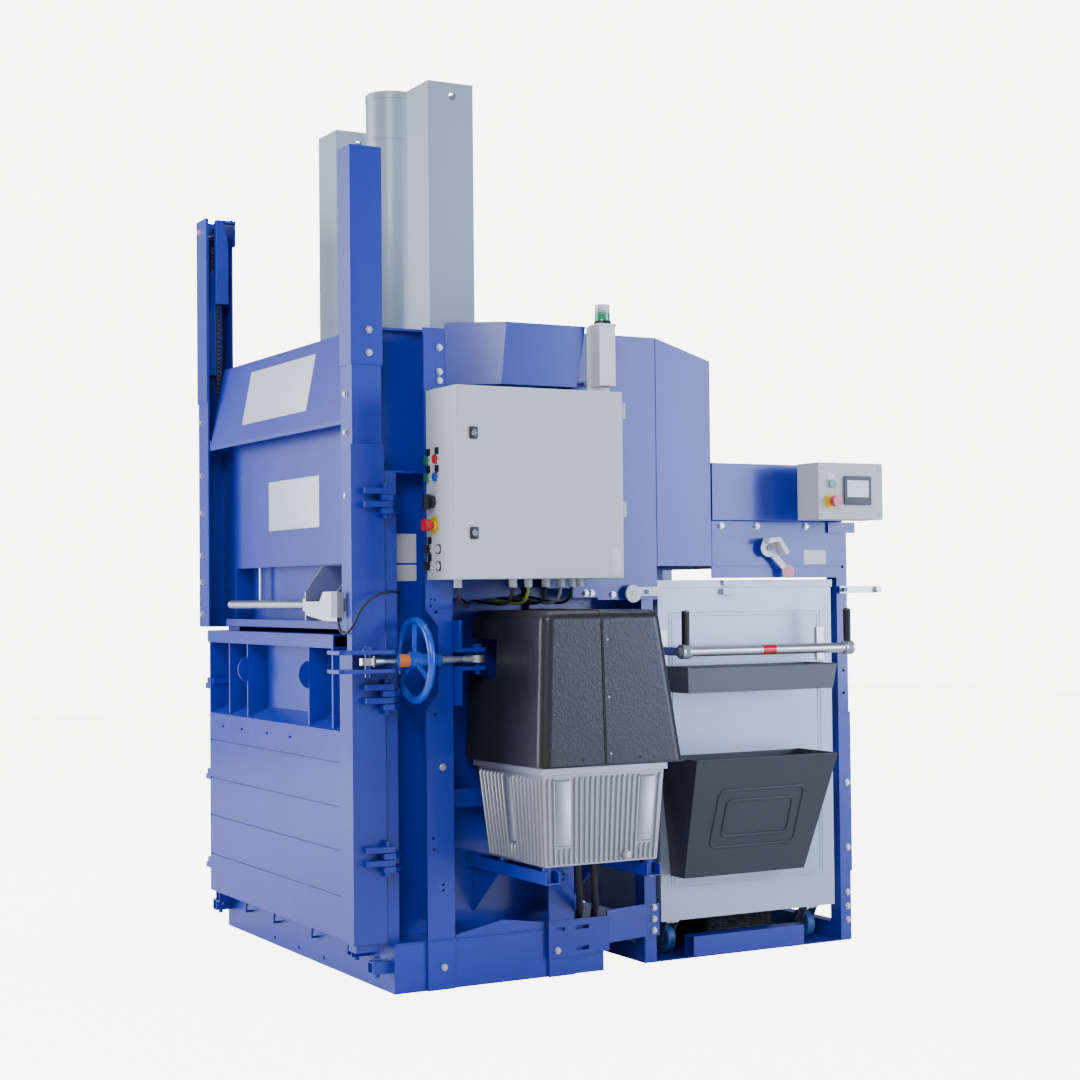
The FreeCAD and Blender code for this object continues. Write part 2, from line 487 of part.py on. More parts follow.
def handwheel():
    sleeve = rod(TB_SLEEVE_R, SLEEVE_X1 - SLEEVE_X0, SLEEVE_X0, TB_Y, TB_Z, (1, 0, 0))
    sleeve = sleeve.cut(rod(TB_ROD_R + RUN_FIT, 190, SLEEVE_X0 - 4, TB_Y, TB_Z, (1, 0, 0)))
    ring = Part.makeTorus(WHEEL_R, WHEEL_TUBE, V(WHEEL_X, TB_Y, TB_Z), V(1, 0, 0))
    spokes = []
    for k in range(3):
        a = math.radians(90 + 120 * k)
        d = (0, math.cos(a), math.sin(a))
        spokes.append(rod(8, WHEEL_R - 16, WHEEL_X, TB_Y + 16 * d[1], TB_Z + 16 * d[2], d))
    hub = rod(TB_SLEEVE_R + 7, 34, WHEEL_X - 17, TB_Y, TB_Z, (1, 0, 0))
    hub = hub.cut(rod(TB_SLEEVE_R - 2, 40, WHEEL_X - 20, TB_Y, TB_Z, (1, 0, 0)))
    return fuse([sleeve, ring, hub] + spokes)


# ---- lift door, its handle, chain and counterweight

def lift_door():
    x, t = LIFT_X, SHEET
    y0, y1, far = GUIDE_N0 + SHEET + 6, GUIDE_F1 - SHEET - 36, GUIDE_F0 - 52
    upper = box(x, x + t, y0, y1, LIFT_CREASE - 2, LIFT_Z1)
    frame = [box(x, x + t, y0, 168, LIFT_Z0, LIFT_CREASE), box(x, x + t, far - 6, y1, LIFT_Z0, LIFT_CREASE)]
    back = box(x + 62, x + 62 + t, 162, far, LIFT_Z0, LIFT_CREASE + 20)
    shelf = box(x, x + 62 + t, 162, far, LIFT_CREASE - 4, LIFT_CREASE + 2)
    sill = box(x - 40, x + 62 + t, 162, far, LIFT_Z0, LIFT_Z0 + 6)
    nose = box(x - 40, x - 34, 162, far, LIFT_Z0, LIFT_Z0 + 26)
    cheeks = [box(x, x + 62 + t, y, y + t, LIFT_Z0, LIFT_CREASE) for y in (162, far - 6)]
    stop = box(CHAIN_X - 16, x + t, GUIDE_F0 - 2, CHAIN_Y0 + 12, LIFT_Z1 - 20, LIFT_Z1)
    stop = stop.cut(box(CHAIN_X - 10, CHAIN_X + 10, CHAIN_Y0 - 7, CHAIN_Y0 + 7, LIFT_Z1 - 21, LIFT_Z1 + 1))
    return fuse([upper, back, shelf, sill, nose, stop] + frame + cheeks)


def lift_handle():
    """The long grab bar, its near bracket with the latch rod, and a round hanger at the far end."""
    x, z = HANDLE_X, HANDLE_Z
    front, back, low = x - 22, LIFT_X + 61, LIFT_Z0 + 27
    near, far = 215, HANDLE_Y0 - 6
    bar = rod(HANDLE_R, HANDLE_Y1 - HANDLE_Y0, x, HANDLE_Y0, z, (0, 1, 0))
    hanger = rod(7, LIFT_CREASE - z - 4, LIFT_X + 30, HANDLE_Y1 - 92, z)
    turn = rod(7, LIFT_X + 36 - x, x, HANDLE_Y1 - 92, z, (1, 0, 0))
    end = rod(9, back - x, x, HANDLE_Y1 - 10, z, (1, 0, 0))
    side = [(front, low), (front, 1258), (LIFT_X - 8, 1345), (back, 1345), (back, low)]
    plates = [prism(side, "y", y, 6) for y in (near, far)]
    face = prism([(near, low), (near, 1258), (near + 120, 1258), (near + 150, 1226), (far + 6, 1226),
                  (far + 6, 1182), (near + 110, low)], "x", front, 5)
    holder = rod(27, 34, x, far + 4, z, (0, 1, 0)).cut(box(x - 40, front + 5, far, far + 60, 1180, 1250))
    latch = rod(7, 200, x + 16, near + 24, low)
    clips = [box(x - 18, x + 26, near + 4, near + 34, zc, zc + 14) for zc in (1178, 1240)]
    return fuse([bar, hanger, turn, end, face, holder, latch] + plates + clips)


def lift_chain():
    """Two straight strands and a half turn over the sprocket, as one flat band."""
    y0, y1, w = CHAIN_Y0, CHAIN_Y1, 5.0
    r = (y1 - y0) / 2
    mid = (y0 + y1) / 2
    ring = rod(r + w, 16, CHAIN_X - 8, mid, SPROCKET_Z, (1, 0, 0)).cut(
        rod(r - w, 18, CHAIN_X - 9, mid, SPROCKET_Z, (1, 0, 0)))
    ring = ring.cut(box(CHAIN_X - 30, CHAIN_X + 30, y0 - 20, y1 + 20, SPROCKET_Z - 60, SPROCKET_Z))
    door = box(CHAIN_X - 8, CHAIN_X + 8, y0 - w, y0 + w, LIFT_Z1, SPROCKET_Z)
    weight = box(CHAIN_X - 8, CHAIN_X + 8, y1 - w, y1 + w, 2480, SPROCKET_Z)
    return fuse([ring, door, weight])


def chain_sprocket():
    mid = (CHAIN_Y0 + CHAIN_Y1) / 2
    r = (CHAIN_Y1 - CHAIN_Y0) / 2 - 5.4
    disc = rod(r, 8, CHAIN_X - 4, mid, SPROCKET_Z, (1, 0, 0))
    hub = rod(14, 34, CHAIN_X - 17, mid, SPROCKET_Z, (1, 0, 0))
    return fuse([disc, hub]).cut(rod(7 + RUN_FIT, 60, CHAIN_X - 30, mid, SPROCKET_Z, (1, 0, 0)))


def counterweight():
    body = box(CHAIN_X - 34, CHAIN_X + 24, CHAIN_Y1 - 34, CHAIN_Y1 + 18, 2080, 2466)
    return fuse([body, rod(8, 16, CHAIN_X, CHAIN_Y1, 2464)])


# ---- cabinet and its controls

def cabinet():
    outer = box(CAB_X0, CAB_X1, CAB_Y0, CAB_Y1, CAB_Z0, CAB_Z1)
    inner = box(CAB_X0 + CAB_T, CAB_X1 - CAB_T, CAB_Y0 - 1, CAB_Y1 - CAB_T, CAB_Z0 + CAB_T,
                CAB_Z1 - CAB_T)
    shell = outer.cut(inner)
    rim = box(CAB_X0, CAB_X1, CAB_Y0, CAB_Y0 + 3, CAB_Z0, CAB_Z1).cut(
        box(CAB_X0 + 24, CAB_X1 - 24, CAB_Y0 - 1, CAB_Y0 + 4, CAB_Z0 + 24, CAB_Z1 - 24))
    plate = box(CAB_X0 + 40, CAB_X1 - 40, CAB_Y1 - 32, CAB_Y1 - 28, CAB_Z0 + 40, CAB_Z1 - 40)
    posts = [rod(6, 28, x, CAB_Y1 - 30, z, (0, 1, 0)) for x in (CAB_X0 + 60, CAB_X1 - 60)
             for z in (CAB_Z0 + 60, CAB_Z1 - 60)]
    feet = [box(x, x + 60, CAB_Y1 - 2, -PLATE, z, z + 40)
            for x in (COL_X0 + 30, COL2_X0 + 20) for z in (CAB_Z0 + 60, CAB_Z1 - 100)]
    hinges = [rod(7, 25, CAB_HINGE_X, CAB_HINGE_Y, z) for z in CAB_HINGES]
    hinges += [rod(4, 50, CAB_HINGE_X, CAB_HINGE_Y, z) for z in CAB_HINGES]
    leaves = [box(CAB_X1 - 1, CAB_HINGE_X + 3, CAB_HINGE_Y, CAB_Y0 + 26, z, z + 25)
              for z in CAB_HINGES]
    bow = [rod(5, 26, CAB_X1 - 2, -150, z, (1, 0, 0)) for z in (1400, 1482)]
    bow.append(rod(5, 92, CAB_X1 + 20, -150, 1395))
    glands = [rod(GLAND_R, GLAND_L, x, GLAND_Y, CAB_Z0 - GLAND_L) for x in GLANDS]
    blanks = [rod(12, 5, CAB_X0 - 4, y, z, (1, 0, 0)) for y, z in BLANKS]
    shape = fuse([shell, rim, plate] + posts + feet + hinges + leaves + bow + glands + blanks)
    holes = [rod(BUTTON_R + 0.4, 8, CAB_X0 - 2, y, z, (1, 0, 0)) for _, y, z in PUSH + SELECTORS]
    holes.append(rod(BUTTON_R + 0.4, 8, CAB_X0 - 2, ESTOP_Y, ESTOP_Z, (1, 0, 0)))
    holes.append(rod(BUTTON_R + 0.4, 8, CAB_X0 - 2, MAIN_Y, MAIN_Z, (1, 0, 0)))
    return cut(shape, holes)


def cabinet_door():
    y1 = CAB_Y0 - 2
    y0 = y1 - CAB_DOOR_T
    outer = box(CAB_X0, CAB_X1 - 3, y0, y1, CAB_Z0, CAB_Z1)
    outer = outer.makeFillet(3, [e for e in outer.Edges if abs(e.BoundBox.YMax - y0) < 0.1])
    shape = outer.cut(box(CAB_X0 + 3, CAB_X1 - 6, y0 + 3, y1 + 1, CAB_Z0 + 3, CAB_Z1 - 3))
    tabs = [box(CAB_X1 - 5, CAB_HINGE_X, CAB_HINGE_Y - 4, CAB_HINGE_Y + 4, z + 26, z + 50)
            for z in CAB_HINGES]
    tabs += [rod(7, 24, CAB_HINGE_X, CAB_HINGE_Y, z + 26) for z in CAB_HINGES]
    holes = [rod(11 + RUN_FIT, 20, LOCK_X, y0 - 5, z, (0, 1, 0)) for z in LOCKS]
    holes += [rod(4 + RUN_FIT, 30, CAB_HINGE_X, CAB_HINGE_Y, z + 24) for z in CAB_HINGES]
    return cut(fuse([shape] + tabs), holes)


def cabinet_lock(z):
    """A quarter-turn insert: round barrel through the door, square escutcheon and a cam."""
    y0 = CAB_Y0 - 2 - CAB_DOOR_T
    barrel = rod(11, 22, LOCK_X, y0 - 3, z, (0, 1, 0))
    head = rod(15, 2.5, LOCK_X, y0 - 3.1, z, (0, 1, 0))
    slot = box(LOCK_X - 7, LOCK_X + 7, y0 - 5, y0 - 1, z - 2, z + 2)
    cam = box(LOCK_X - 8, LOCK_X + 8, y0 + 15, y0 + 18, z - 8, z + 26)
    return fuse([barrel, head, cam]).cut(slot)


def push_button(x, y, z, way, radius=BUTTON_R):
    """A push button standing out of a panel: cap, stem and a fixed-looking collar on the cap."""
    d = V(*way)
    base = V(x, y, z)
    stem = Part.makeCylinder(radius, 26, base - d * 16, d)
    cap = Part.makeCylinder(BEZEL_R, 6, base + d * 6, d)
    return fuse([stem, cap])


def estop(x, y, z, way):
    """A mushroom head on a stem, over a round plate gap."""
    d = V(*way)
    base = V(x, y, z)
    stem = Part.makeCylinder(BUTTON_R, 36, base - d * 14, d)
    head = Part.makeCylinder(ESTOP_R, 22, base + d * 18, d)
    return fuse([stem, head])


def selector(y, z):
    stem = rod(BUTTON_R, 22, CAB_X0 - 8, y, z, (1, 0, 0))
    knob = rod(BEZEL_R, 8, CAB_X0 - 9, y, z, (1, 0, 0))
    grip = box(CAB_X0 - 20, CAB_X0 - 8, y - 3.5, y + 3.5, z - 13, z + 13)
    return fuse([stem, knob, grip])


def main_switch():
    stem = rod(BUTTON_R, 24, CAB_X0 - 8, MAIN_Y, MAIN_Z, (1, 0, 0))
    knob = rod(21, 12, CAB_X0 - 14, MAIN_Y, MAIN_Z, (1, 0, 0))
    grip = box(CAB_X0 - 34, CAB_X0 - 13, MAIN_Y - 7, MAIN_Y + 7, MAIN_Z - 24, MAIN_Z + 24)
    return fuse([stem, knob, grip])


def beacon():
    post = tube_box(667, 727, -164, -104, 1916, 2112, 3, "z")
    plate = box(664, 730, -167, -101, 2112, 2118)
    foot = box(655, 739, -104, -101, 1900, 2112)
    arm = box(700, 727, -104, -3, 1930, 1944)
    socket = rod(26, 10, 697, -134, 2117)
    lens = rod(24, 56, 697, -134, 2126)
    return fuse([post, plate, foot, arm, socket, lens])


def cables():
    """Cables from the glands into the chamber wall, and the door switch's cable."""
    z0 = CAB_Z0 - GLAND_L
    first = cord([(GLANDS[0], GLAND_Y, z0 + 3), (GLANDS[0] + 2, GLAND_Y + 4, 1232),
                  (188, -122, 1212), (230, -70, 1206), (268, -6, 1210), (290, 62, 1220),
                  (300, WALL_IN + 3, 1232)], 5, "gland 1")
    out = [first]
    for k, (x, end) in enumerate(zip(GLANDS[1:6], (356, 408, 456, 496, 528))):
        dx = end - x
        out.append(cord([(x, GLAND_Y, z0 + 3), (x + 0.02 * dx, GLAND_Y + 6, 1230),
                         (x + 0.24 * dx, GLAND_Y + 60, 1211),
                         (x + 0.62 * dx, GLAND_Y + 160, 1214 + 3 * k),
                         (end, WALL_IN + 3, 1224 + 4 * k)], 5, "gland %d" % (k + 2)))
    out.append(cord([(-139, 104, 1176), (-139, 104, 1148), (-138, 60, 1118), (-130, 9, 1146),
                     (-108, -14, 1212), (-56, -10, 1248), (4, 6, 1257), (47, 42, 1256),
                     (66, 88, 1253), (74, WALL_IN + 3, 1250)], 4, "door switch"))
    keep = box(-200, WALL_X1, -400, WALL_IN, 1100, z0)
    return group([c.common(keep) for c in out])


# ---- power pack

def tank_rails():
    parts = []
    for x in RAIL_XS:
        rail = tube_box(x - RAIL_W / 2, x + RAIL_W / 2, RAIL_Y0, WALL_IN, RAIL_Z0, RAIL_Z0 + RAIL_H,
                        RAIL_T, "y")
        rail = rail.cut(box(x - 17, x + 17, RAIL_Y0 - 1, WALL_IN - 60, RAIL_Z0 + 20, RAIL_Z0 + 60))
        brace = prism([(WALL_IN, RAIL_Z0 - 150), (WALL_IN, RAIL_Z0), (-60, RAIL_Z0)], "x", x - 4, 8)
        parts.append(fuse([rail, brace]))
        for y in BUFFERS_Y:
            parts.append(rod(15, TANK_Z0 - RAIL_Z0 - RAIL_T, x, y, RAIL_Z0 + RAIL_T))
    return group(parts)


def oil_tank():
    body = frustum((322, 718, -396, -30), TANK_Z0, (312, 742, -404, 30), TANK_Z1)
    flange = box(304, 752, -410, 48, TANK_Z1 - 2, COVER_BOT)
    plug = rod(10, 10, 600, -406, TANK_Z0 + 22, (0, 1, 0))
    hollow = frustum((334, 706, -384, -42), TANK_Z0 + 12, (324, 730, -392, 18), TANK_Z1 - 12)
    return fuse([body, flange, plug]).cut(hollow)


def tank_cover():
    """A tapered hood, open below and behind, with a window where the turnbuckle's clevis enters."""
    lower, upper = (300, 817, -416, 96), (326, 745, -396, 84)
    outer = frustum(lower, COVER_BOT, upper, COVER_TOP)
    long_edges = [e for e in outer.Edges if e.BoundBox.YMin < 80 and (
        e.BoundBox.ZMin > COVER_TOP - 1 or e.BoundBox.ZLength > 100)]
    outer = outer.makeFillet(34, [e for e in long_edges if e.BoundBox.YMin < 0])
    inner = frustum((304, 813, -412, 140), COVER_BOT - 1, (330, 741, -392, 140), COVER_TOP - 4)
    inner_edges = [e for e in inner.Edges if e.BoundBox.YMin < 0 and (
        e.BoundBox.ZMin > COVER_TOP - 6 or e.BoundBox.ZLength > 100)]
    inner = inner.makeFillet(31, inner_edges)
    window = box(290, 370, -92, 120, TB_Z - 64, TB_Z + 62)
    return outer.cut(inner).cut(window)


def hoses():
    """Two hydraulic hoses from the tank's floor to the top of the base."""
    out = []
    for k, x in enumerate((575, 632)):
        run = [(x, -150, TANK_Z0 + 4), (x + 5, -144, 366), (x + 28, -108, 296), (x + 68, -44, 232),
               (x + 94, 10, 190), (x + 106, 40, BASE_H - 5)]
        out.append(cord(run, HOSE_R, "hose %d" % (k + 1)))
    keep = box(500, BASE_X, -300, 200, BASE_H, TANK_Z0)
    return group([h.common(keep) for h in out])


# ---- loader

def top_hood():
    t = 4
    profile = [(186, 0), (336, -100), (611, -100), (611, 0)]
    upper = [(186, 0), (357, -100), (647, -100), (647, 0)]
    rings = []
    for pts, z in ((profile, 1912), (upper, 2112)):
        p = [V(a, b - PLATE, z) for a, b in pts]
        rings.append(Part.makePolygon(p + p[:1]))
    outer = Part.makeLoft(rings, True, True)
    rings = []
    for pts, z in (([(198, -1), (338, -96), (607, -96), (607, -1)], 1908),
                   ([(198, -1), (359, -96), (643, -96), (643, -1)], 2108)):
        p = [V(a, b - PLATE, z) for a, b in pts]
        rings.append(Part.makePolygon(p + p[:1]))
    return outer.cut(Part.makeLoft(rings, True, True))


def loader_cover():
    """The tall housing over the feed opening: an upright part and a part with a falling roof."""
    x0, x1, x2 = WALL_X1 + WALL_T, 979.0, 1200.0
    y0, y1 = -3.0, LOADER_Y1
    profile = [(x0, 1272), (x0, PRESS_TOP + 6), (x1, PRESS_TOP + 6), (x2, 2037), (x2, 1334),
               (x1, 1334), (x1, 1272)]
    outer = prism(profile, "y", y0, y1 - y0)
    inner = [(x0 - 5, 1260), (x0 - 5, PRESS_TOP + 2), (x1, PRESS_TOP + 2), (x2 - 4, 2034),
             (x2 + 2, 2000), (x2 + 2, 1320), (x1, 1320), (x1, 1260)]
    outer = outer.cut(prism([(x0 - 5, 1200), (x0 - 5, PRESS_TOP + 2), (x1, PRESS_TOP + 2),
                             (x2 - 4, 2034), (x2 - 4, 1200)], "y", y0 + 4, y1 - y0 - 8))
    passage = box(x2 - 10, x2 + 2, 60, y1 - 60, 1340, 1640)
    gap = box(x1 - 2, x1 + 2, y0 - 1, y0 + 2, 1300, PRESS_TOP + 8)
    side = box(650, x0 + 2, y0, y0 + 4, 1230, PRESS_TOP + 6)
    stay = box(x0 - 2, x1, y0, y0 + 4, 1222, 1280)
    pin = rod(7, 28, ARM_LEFT_X, ARM_LEFT_Y - 14, ARM_Z, (0, 1, 0))
    return cut(fuse([outer, side, stay, pin]), [passage, gap])


def side_hood():
    x0, x1 = 1202.0, 1756.0
    outer = prism([(-3, 1334), (-3, 1488), (-8, 1492), (-8, 1688), (LOADER_Y1, 1688),
                   (LOADER_Y1, 1334)], "x", x0, x1 - x0)
    inner = prism([(1, 1300), (1, 1488), (-4, 1492), (-4, 1684), (LOADER_Y1 - 4, 1684),
                   (LOADER_Y1 - 4, 1300)], "x", x0 - 1, x1 - x0 - 3)
    shape = outer.cut(inner)
    pin = rod(9, 34, STOP_X, -36, STOP_Z, (0, 1, 0))
    ear = box(1690, 1808, -12, -3, 1450, 1488)
    arm = box(1600, 1740, BOX_Y1, -4, 1500, 1530)
    seal = box(x0, x1, 2, 6, CART_Z1 + 6, 1344)
    return fuse([shape, pin, ear, arm, seal])


def control_box():
    shell = box(BOX_X0, BOX_X1, BOX_Y0, BOX_Y1, BOX_Z0, BOX_Z1)
    shape = shell.cut(box(BOX_X0 + 3, BOX_X1 - 3, BOX_Y0 + 3, BOX_Y1 - 3, BOX_Z0 + 3, BOX_Z1 - 3))
    screen = box(1626, 1741, BOX_Y0 - 5, BOX_Y0 + 1, 1542, 1640)
    screws = [rod(6, 4, x, BOX_Y0 - 3, z, (0, 1, 0)) for x in (BOX_X0 + 14, BOX_X1 - 14)
              for z in (BOX_Z0 + 16, BOX_Z1 - 16)]
    shape = fuse([shape, screen] + screws)
    return cut(shape, [rod(BUTTON_R + 0.4, 12, 1562, BOX_Y0 - 4, z, (0, 1, 0))
                       for z in (1612, 1552)])


def stop_lever():
    """A flat arm with a shielded pivot and an octagonal end plate."""
    a = math.radians(STOP_ANGLE)
    ux, uz = math.cos(a), math.sin(a)
    nx, nz = -uz, ux
    y0 = -30.0
    arm = prism([(STOP_X + ux * s + nx * w, STOP_Z + uz * s + nz * w)
                 for s, w in ((0, -14), (STOP_LEN, -10), (STOP_LEN, 10), (0, 14))], "y", y0, 5)
    disc = rod(30, 5, STOP_X, y0, STOP_Z, (0, 1, 0))
    tip = []
    for k in range(8):
        b = math.radians(22.5 + 45 * k)
        tip.append((STOP_X + ux * STOP_LEN + 24 * math.cos(b), STOP_Z + uz * STOP_LEN + 24 * math.sin(b)))
    octagon = prism(tip, "y", y0 - 3, 8)
    hood = prism([(STOP_X - 26, STOP_Z + 16), (STOP_X - 18, STOP_Z + 34), (STOP_X + 24, STOP_Z + 38),
                  (STOP_X + 62, STOP_Z - 14), (STOP_X + 48, STOP_Z - 24),
                  (STOP_X + 20, STOP_Z + 22)], "y", y0 - 38, 43)
    shape = fuse([arm, disc, octagon, hood])
    return shape.cut(rod(9 + RUN_FIT, 40, STOP_X, y0 - 20, STOP_Z, (0, 1, 0)))


def arm_right():
    """A flat bar swung out on the dock's right post, with a round end."""
    x, y, reach = DOCK_X1 + 20, DOCK_Y0 - 6, 150
    bar = box(x - 14, x + reach, y - 6, y, ARM_Z - 13, ARM_Z + 13)
    knob = rod(11, 20, x + reach, y - 20, ARM_Z, (0, 1, 0))
    return fuse([bar, knob]).cut(rod(8 + RUN_FIT, 60, x, y - 40, ARM_Z, (0, 1, 0)))


def arm_left():
    """A short bar on the loader cover, with a rubber roller at its outer end."""
    x, y = ARM_LEFT_X, ARM_LEFT_Y
    bar = box(x - 40, x + 66, y - 6, y, ARM_Z - 14, ARM_Z + 16)
    axle = rod(7, 20, x - 56, y - 18, ARM_Z - 6, (0, 1, 0))
    cheek = box(x - 66, x - 38, y - 6, y, ARM_Z - 16, ARM_Z + 6)
    roller = rod(29, 9, x - 56, y - 16, ARM_Z - 6, (0, 1, 0))
    return fuse([bar, axle, cheek, roller]).cut(rod(7 + RUN_FIT, 60, x, y - 40, ARM_Z, (0, 1, 0)))


def dock_frame():
    x0, x1, y0, y1 = DOCK_X0, DOCK_X1, DOCK_Y0, LOADER_Y1 - 40
    posts = []
    for x in (x0, x1):
        posts.append(tube_box(x, x + DOCK_POST, y0, y0 + 60, 0, DOCK_TOP if x == x1 else 1270, 4, "z"))
        posts.append(tube_box(x, x + DOCK_POST, y1 - 60, y1, 0, DOCK_TOP if x == x1 else 1270, 4, "z"))
        posts.append(tube_box(x, x + DOCK_POST, y0 + 50, y1 - 50, 4, 60, 4, "y"))
        posts.append(tube_box(x, x + DOCK_POST, y0 + 50, y1 - 50, 1180, 1240, 4, "y"))
    sleeve = tube_box(x1 - 3, x1 + DOCK_POST + 4, y0 - 4, y0 + 64, 245, 812, 5, "z")
    tray = box(x0, x1 + DOCK_POST, y0, y1, 0, TRAY_T)
    beam = tube_box(1128, 1590, 26, 84, TRAY_T, 72, 4, "x")
    link = prism([(540, 60), (540, 182), (768, 182), (768, 68)], "y", -PLATE - 8, 8)
    link = cut(link, [box(566, 600, -30, 0, 148, 160), box(640, 690, -30, 0, 148, 160),
                      box(640, 690, -30, 0, 80, 92)])
    arm = prism([(760, -18), (x0 + 2, 20), (x0 + 52, 20), (x0 + 52, 30), (x0, 30), (760, -10)],
                "z", 92, 108)
    tie = box(WALL_X1 + WALL_T, x0 + 6, 200, 260, 1180, 1240)
    pin = rod(8, 36, x1 + 20, y0 - 28, ARM_Z, (0, 1, 0))
    shape = fuse(posts + [sleeve, tray, beam, link, arm, tie, pin])
    holes = [rod(5, 20, x1 + 26, y0 - 6, z, (0, 1, 0)) for z in (880, 960, 1040, 1330)]
    return cut(shape, holes)


def bellows():
    """The folded cover of the lifting gear under the cart, as a stack of flat pleats."""
    parts = [box(1240, 1500, 110, 330, TRAY_T, 118)]
    for k in range(8):
        z = 12 + 13 * k
        parts.append(box(1230, 1510, 100, 340, z, z + 7))
    return fuse(parts)


def cart_body():
    t = CART_T
    outer = box(CART_X0, CART_X1, CART_Y0, CART_Y1, CART_Z0, CART_Z1)
    shell = outer.cut(box(CART_X0 + t, CART_X1 - t, CART_Y0 + t, CART_Y1 - t, CART_Z0 + t, CART_Z1 + 1))
    rim = tube_rim(CART_X0 - 4, CART_X1 + 4, CART_Y0 - 4, CART_Y1 + 4, CART_Z1 - 26, CART_Z1, 10)
    grooves = []
    for inset, w in ((50, 4), (62, 4)):
        x0, x1, z0, z1 = CART_X0 + inset - 10, CART_X1 - inset, CART_Z0 + inset + 60, CART_Z1 - inset - 60
        ring = box(x0, x1, CART_Y0 - 1, CART_Y0 + 1.5, z0, z1).cut(
            box(x0 + w, x1 - w, CART_Y0 - 2, CART_Y0 + 2, z0 + w, z1 - w))
        grooves.append(ring)
    catch = [box(1262, 1330, CART_Y0 - 14, CART_Y0 + 1, 1268, 1286),
             box(1258, 1324, CART_Y0 - 18, CART_Y0 + 1, 1236, 1256)]
    back_forks = []
    for x in CASTOR_XS:
        back_forks.append(box(x - 34, x + 34, CASTOR_YS[1] - 44, CASTOR_YS[1] + 44, CART_Z0 - 8, CART_Z0 + 1))
        for s in (-1, 1):
            back_forks.append(box(x + s * 22 - 2, x + s * 22 + 2, CASTOR_YS[1] - 18, CASTOR_YS[1] + 18,
                                  AXLE_Z - 14, CART_Z0 - 6))
        back_forks.append(rod(6, 52, x - 26, CASTOR_YS[1], AXLE_Z, (1, 0, 0)))
    front = [rod(11, 9, x, CASTOR_YS[0], CART_Z0 - 8) for x in CASTOR_XS]
    front += [box(x - 34, x + 34, CASTOR_YS[0] - 44, CASTOR_YS[0] + 44, CART_Z0 - 1, CART_Z0 + 3)
              for x in CASTOR_XS]
    shape = fuse([shell, rim] + catch + back_forks + front)
    return cut(shape, grooves)


def tube_rim(x0, x1, y0, y1, z0, z1, t):
    """A rectangular frame lying flat."""
    return box(x0, x1, y0, y1, z0, z1).cut(box(x0 + t, x1 - t, y0 + t, y1 - t, z0 - 1, z1 + 1))


def castor_fork(x, y):
    """A swivel fork: top plate, two cheeks trailing behind the swivel axis, and the axle."""
    wy = y + CASTOR_TRAIL
    axle_z = AXLE_Z
    head = rod(24, 10, x, y, CART_Z0 - 19)
    cheeks = []
    for s in (-1, 1):
        cheeks.append(prism([(y - 20, CART_Z0 - 12), (y + 24, CART_Z0 - 12), (wy + 16, axle_z + 10),
                             (wy + 12, axle_z - 14), (wy - 12, axle_z - 14)], "x",
                            x + s * 22 - 2, 4))
    bridge = box(x - 24, x + 24, y - 20, y + 24, CART_Z0 - 19, CART_Z0 - 12)
    axle = rod(6, 52, x - 26, wy, axle_z, (1, 0, 0))
    return fuse([head, bridge, axle] + cheeks)


def castor_wheel(x, y):
    axle_z = AXLE_Z
    wheel = rod(WHEEL_D / 2, WHEEL_W, x - WHEEL_W / 2, y, axle_z, (1, 0, 0))
    wheel = wheel.makeFillet(5, [e for e in wheel.Edges if e.Length > 200])
    return wheel.cut(rod(6 + RUN_FIT, WHEEL_W + 4, x - WHEEL_W / 2 - 2, y, axle_z, (1, 0, 0)))


def push_bar():
    bar = rod(BAR_R, BAR_X1 - BAR_X0, BAR_X0, BAR_Y, BAR_Z, (1, 0, 0))
    ends = [rod(BAR_R + 7, 34, x - 17, BAR_Y, BAR_Z, (1, 0, 0)) for x in (BAR_X0 + 6, BAR_X1 - 6)]
    stays = [box(x - 8, x + 8, BAR_Y, CART_Y0 - 4, BAR_Z - 14, BAR_Z + 14) for x in (1010, 1684)]
    plates = [box(x - 15, x + 15, CART_Y0 - 8, CART_Y0, BAR_Z - 46, BAR_Z + 70) for x in (1020, 1676)]
    grips = [rod(13, 112, x, BAR_Y, BAR_Z + 22) for x in (1014, 1684)]
    stems = [rod(7, 30, x, BAR_Y, BAR_Z) for x in (1014, 1684)]
    return fuse([bar] + ends + stays + plates + grips + stems)


def cart_tray():
    outer = frustum((1012, 1606, -138, CART_Y0), 909, (1002, 1616, -150, CART_Y0), 994)
    inner = frustum((1015, 1603, -135, CART_Y0 - 4), 912, (1005, 1613, -147, CART_Y0 - 4), 995)
    return outer.cut(inner)


def cart_bin():
    outer = frustum((1042, 1536, -52, CART_Y0), 285, (1001, 1577, -200, CART_Y0), 690)
    inner = frustum((1046, 1532, -47, CART_Y0 - 5), 290, (1005, 1573, -195, CART_Y0 - 5), 691)
    return outer.cut(inner)


def door_switch():
    body = box(GUIDE_X0 - 40, GUIDE_X0 - 18, 84, 134, 1176, 1256)
    leg = box(GUIDE_X0 - 20, GUIDE_X0, 104, 130, 1196, 1236)
    return fuse([body, leg])


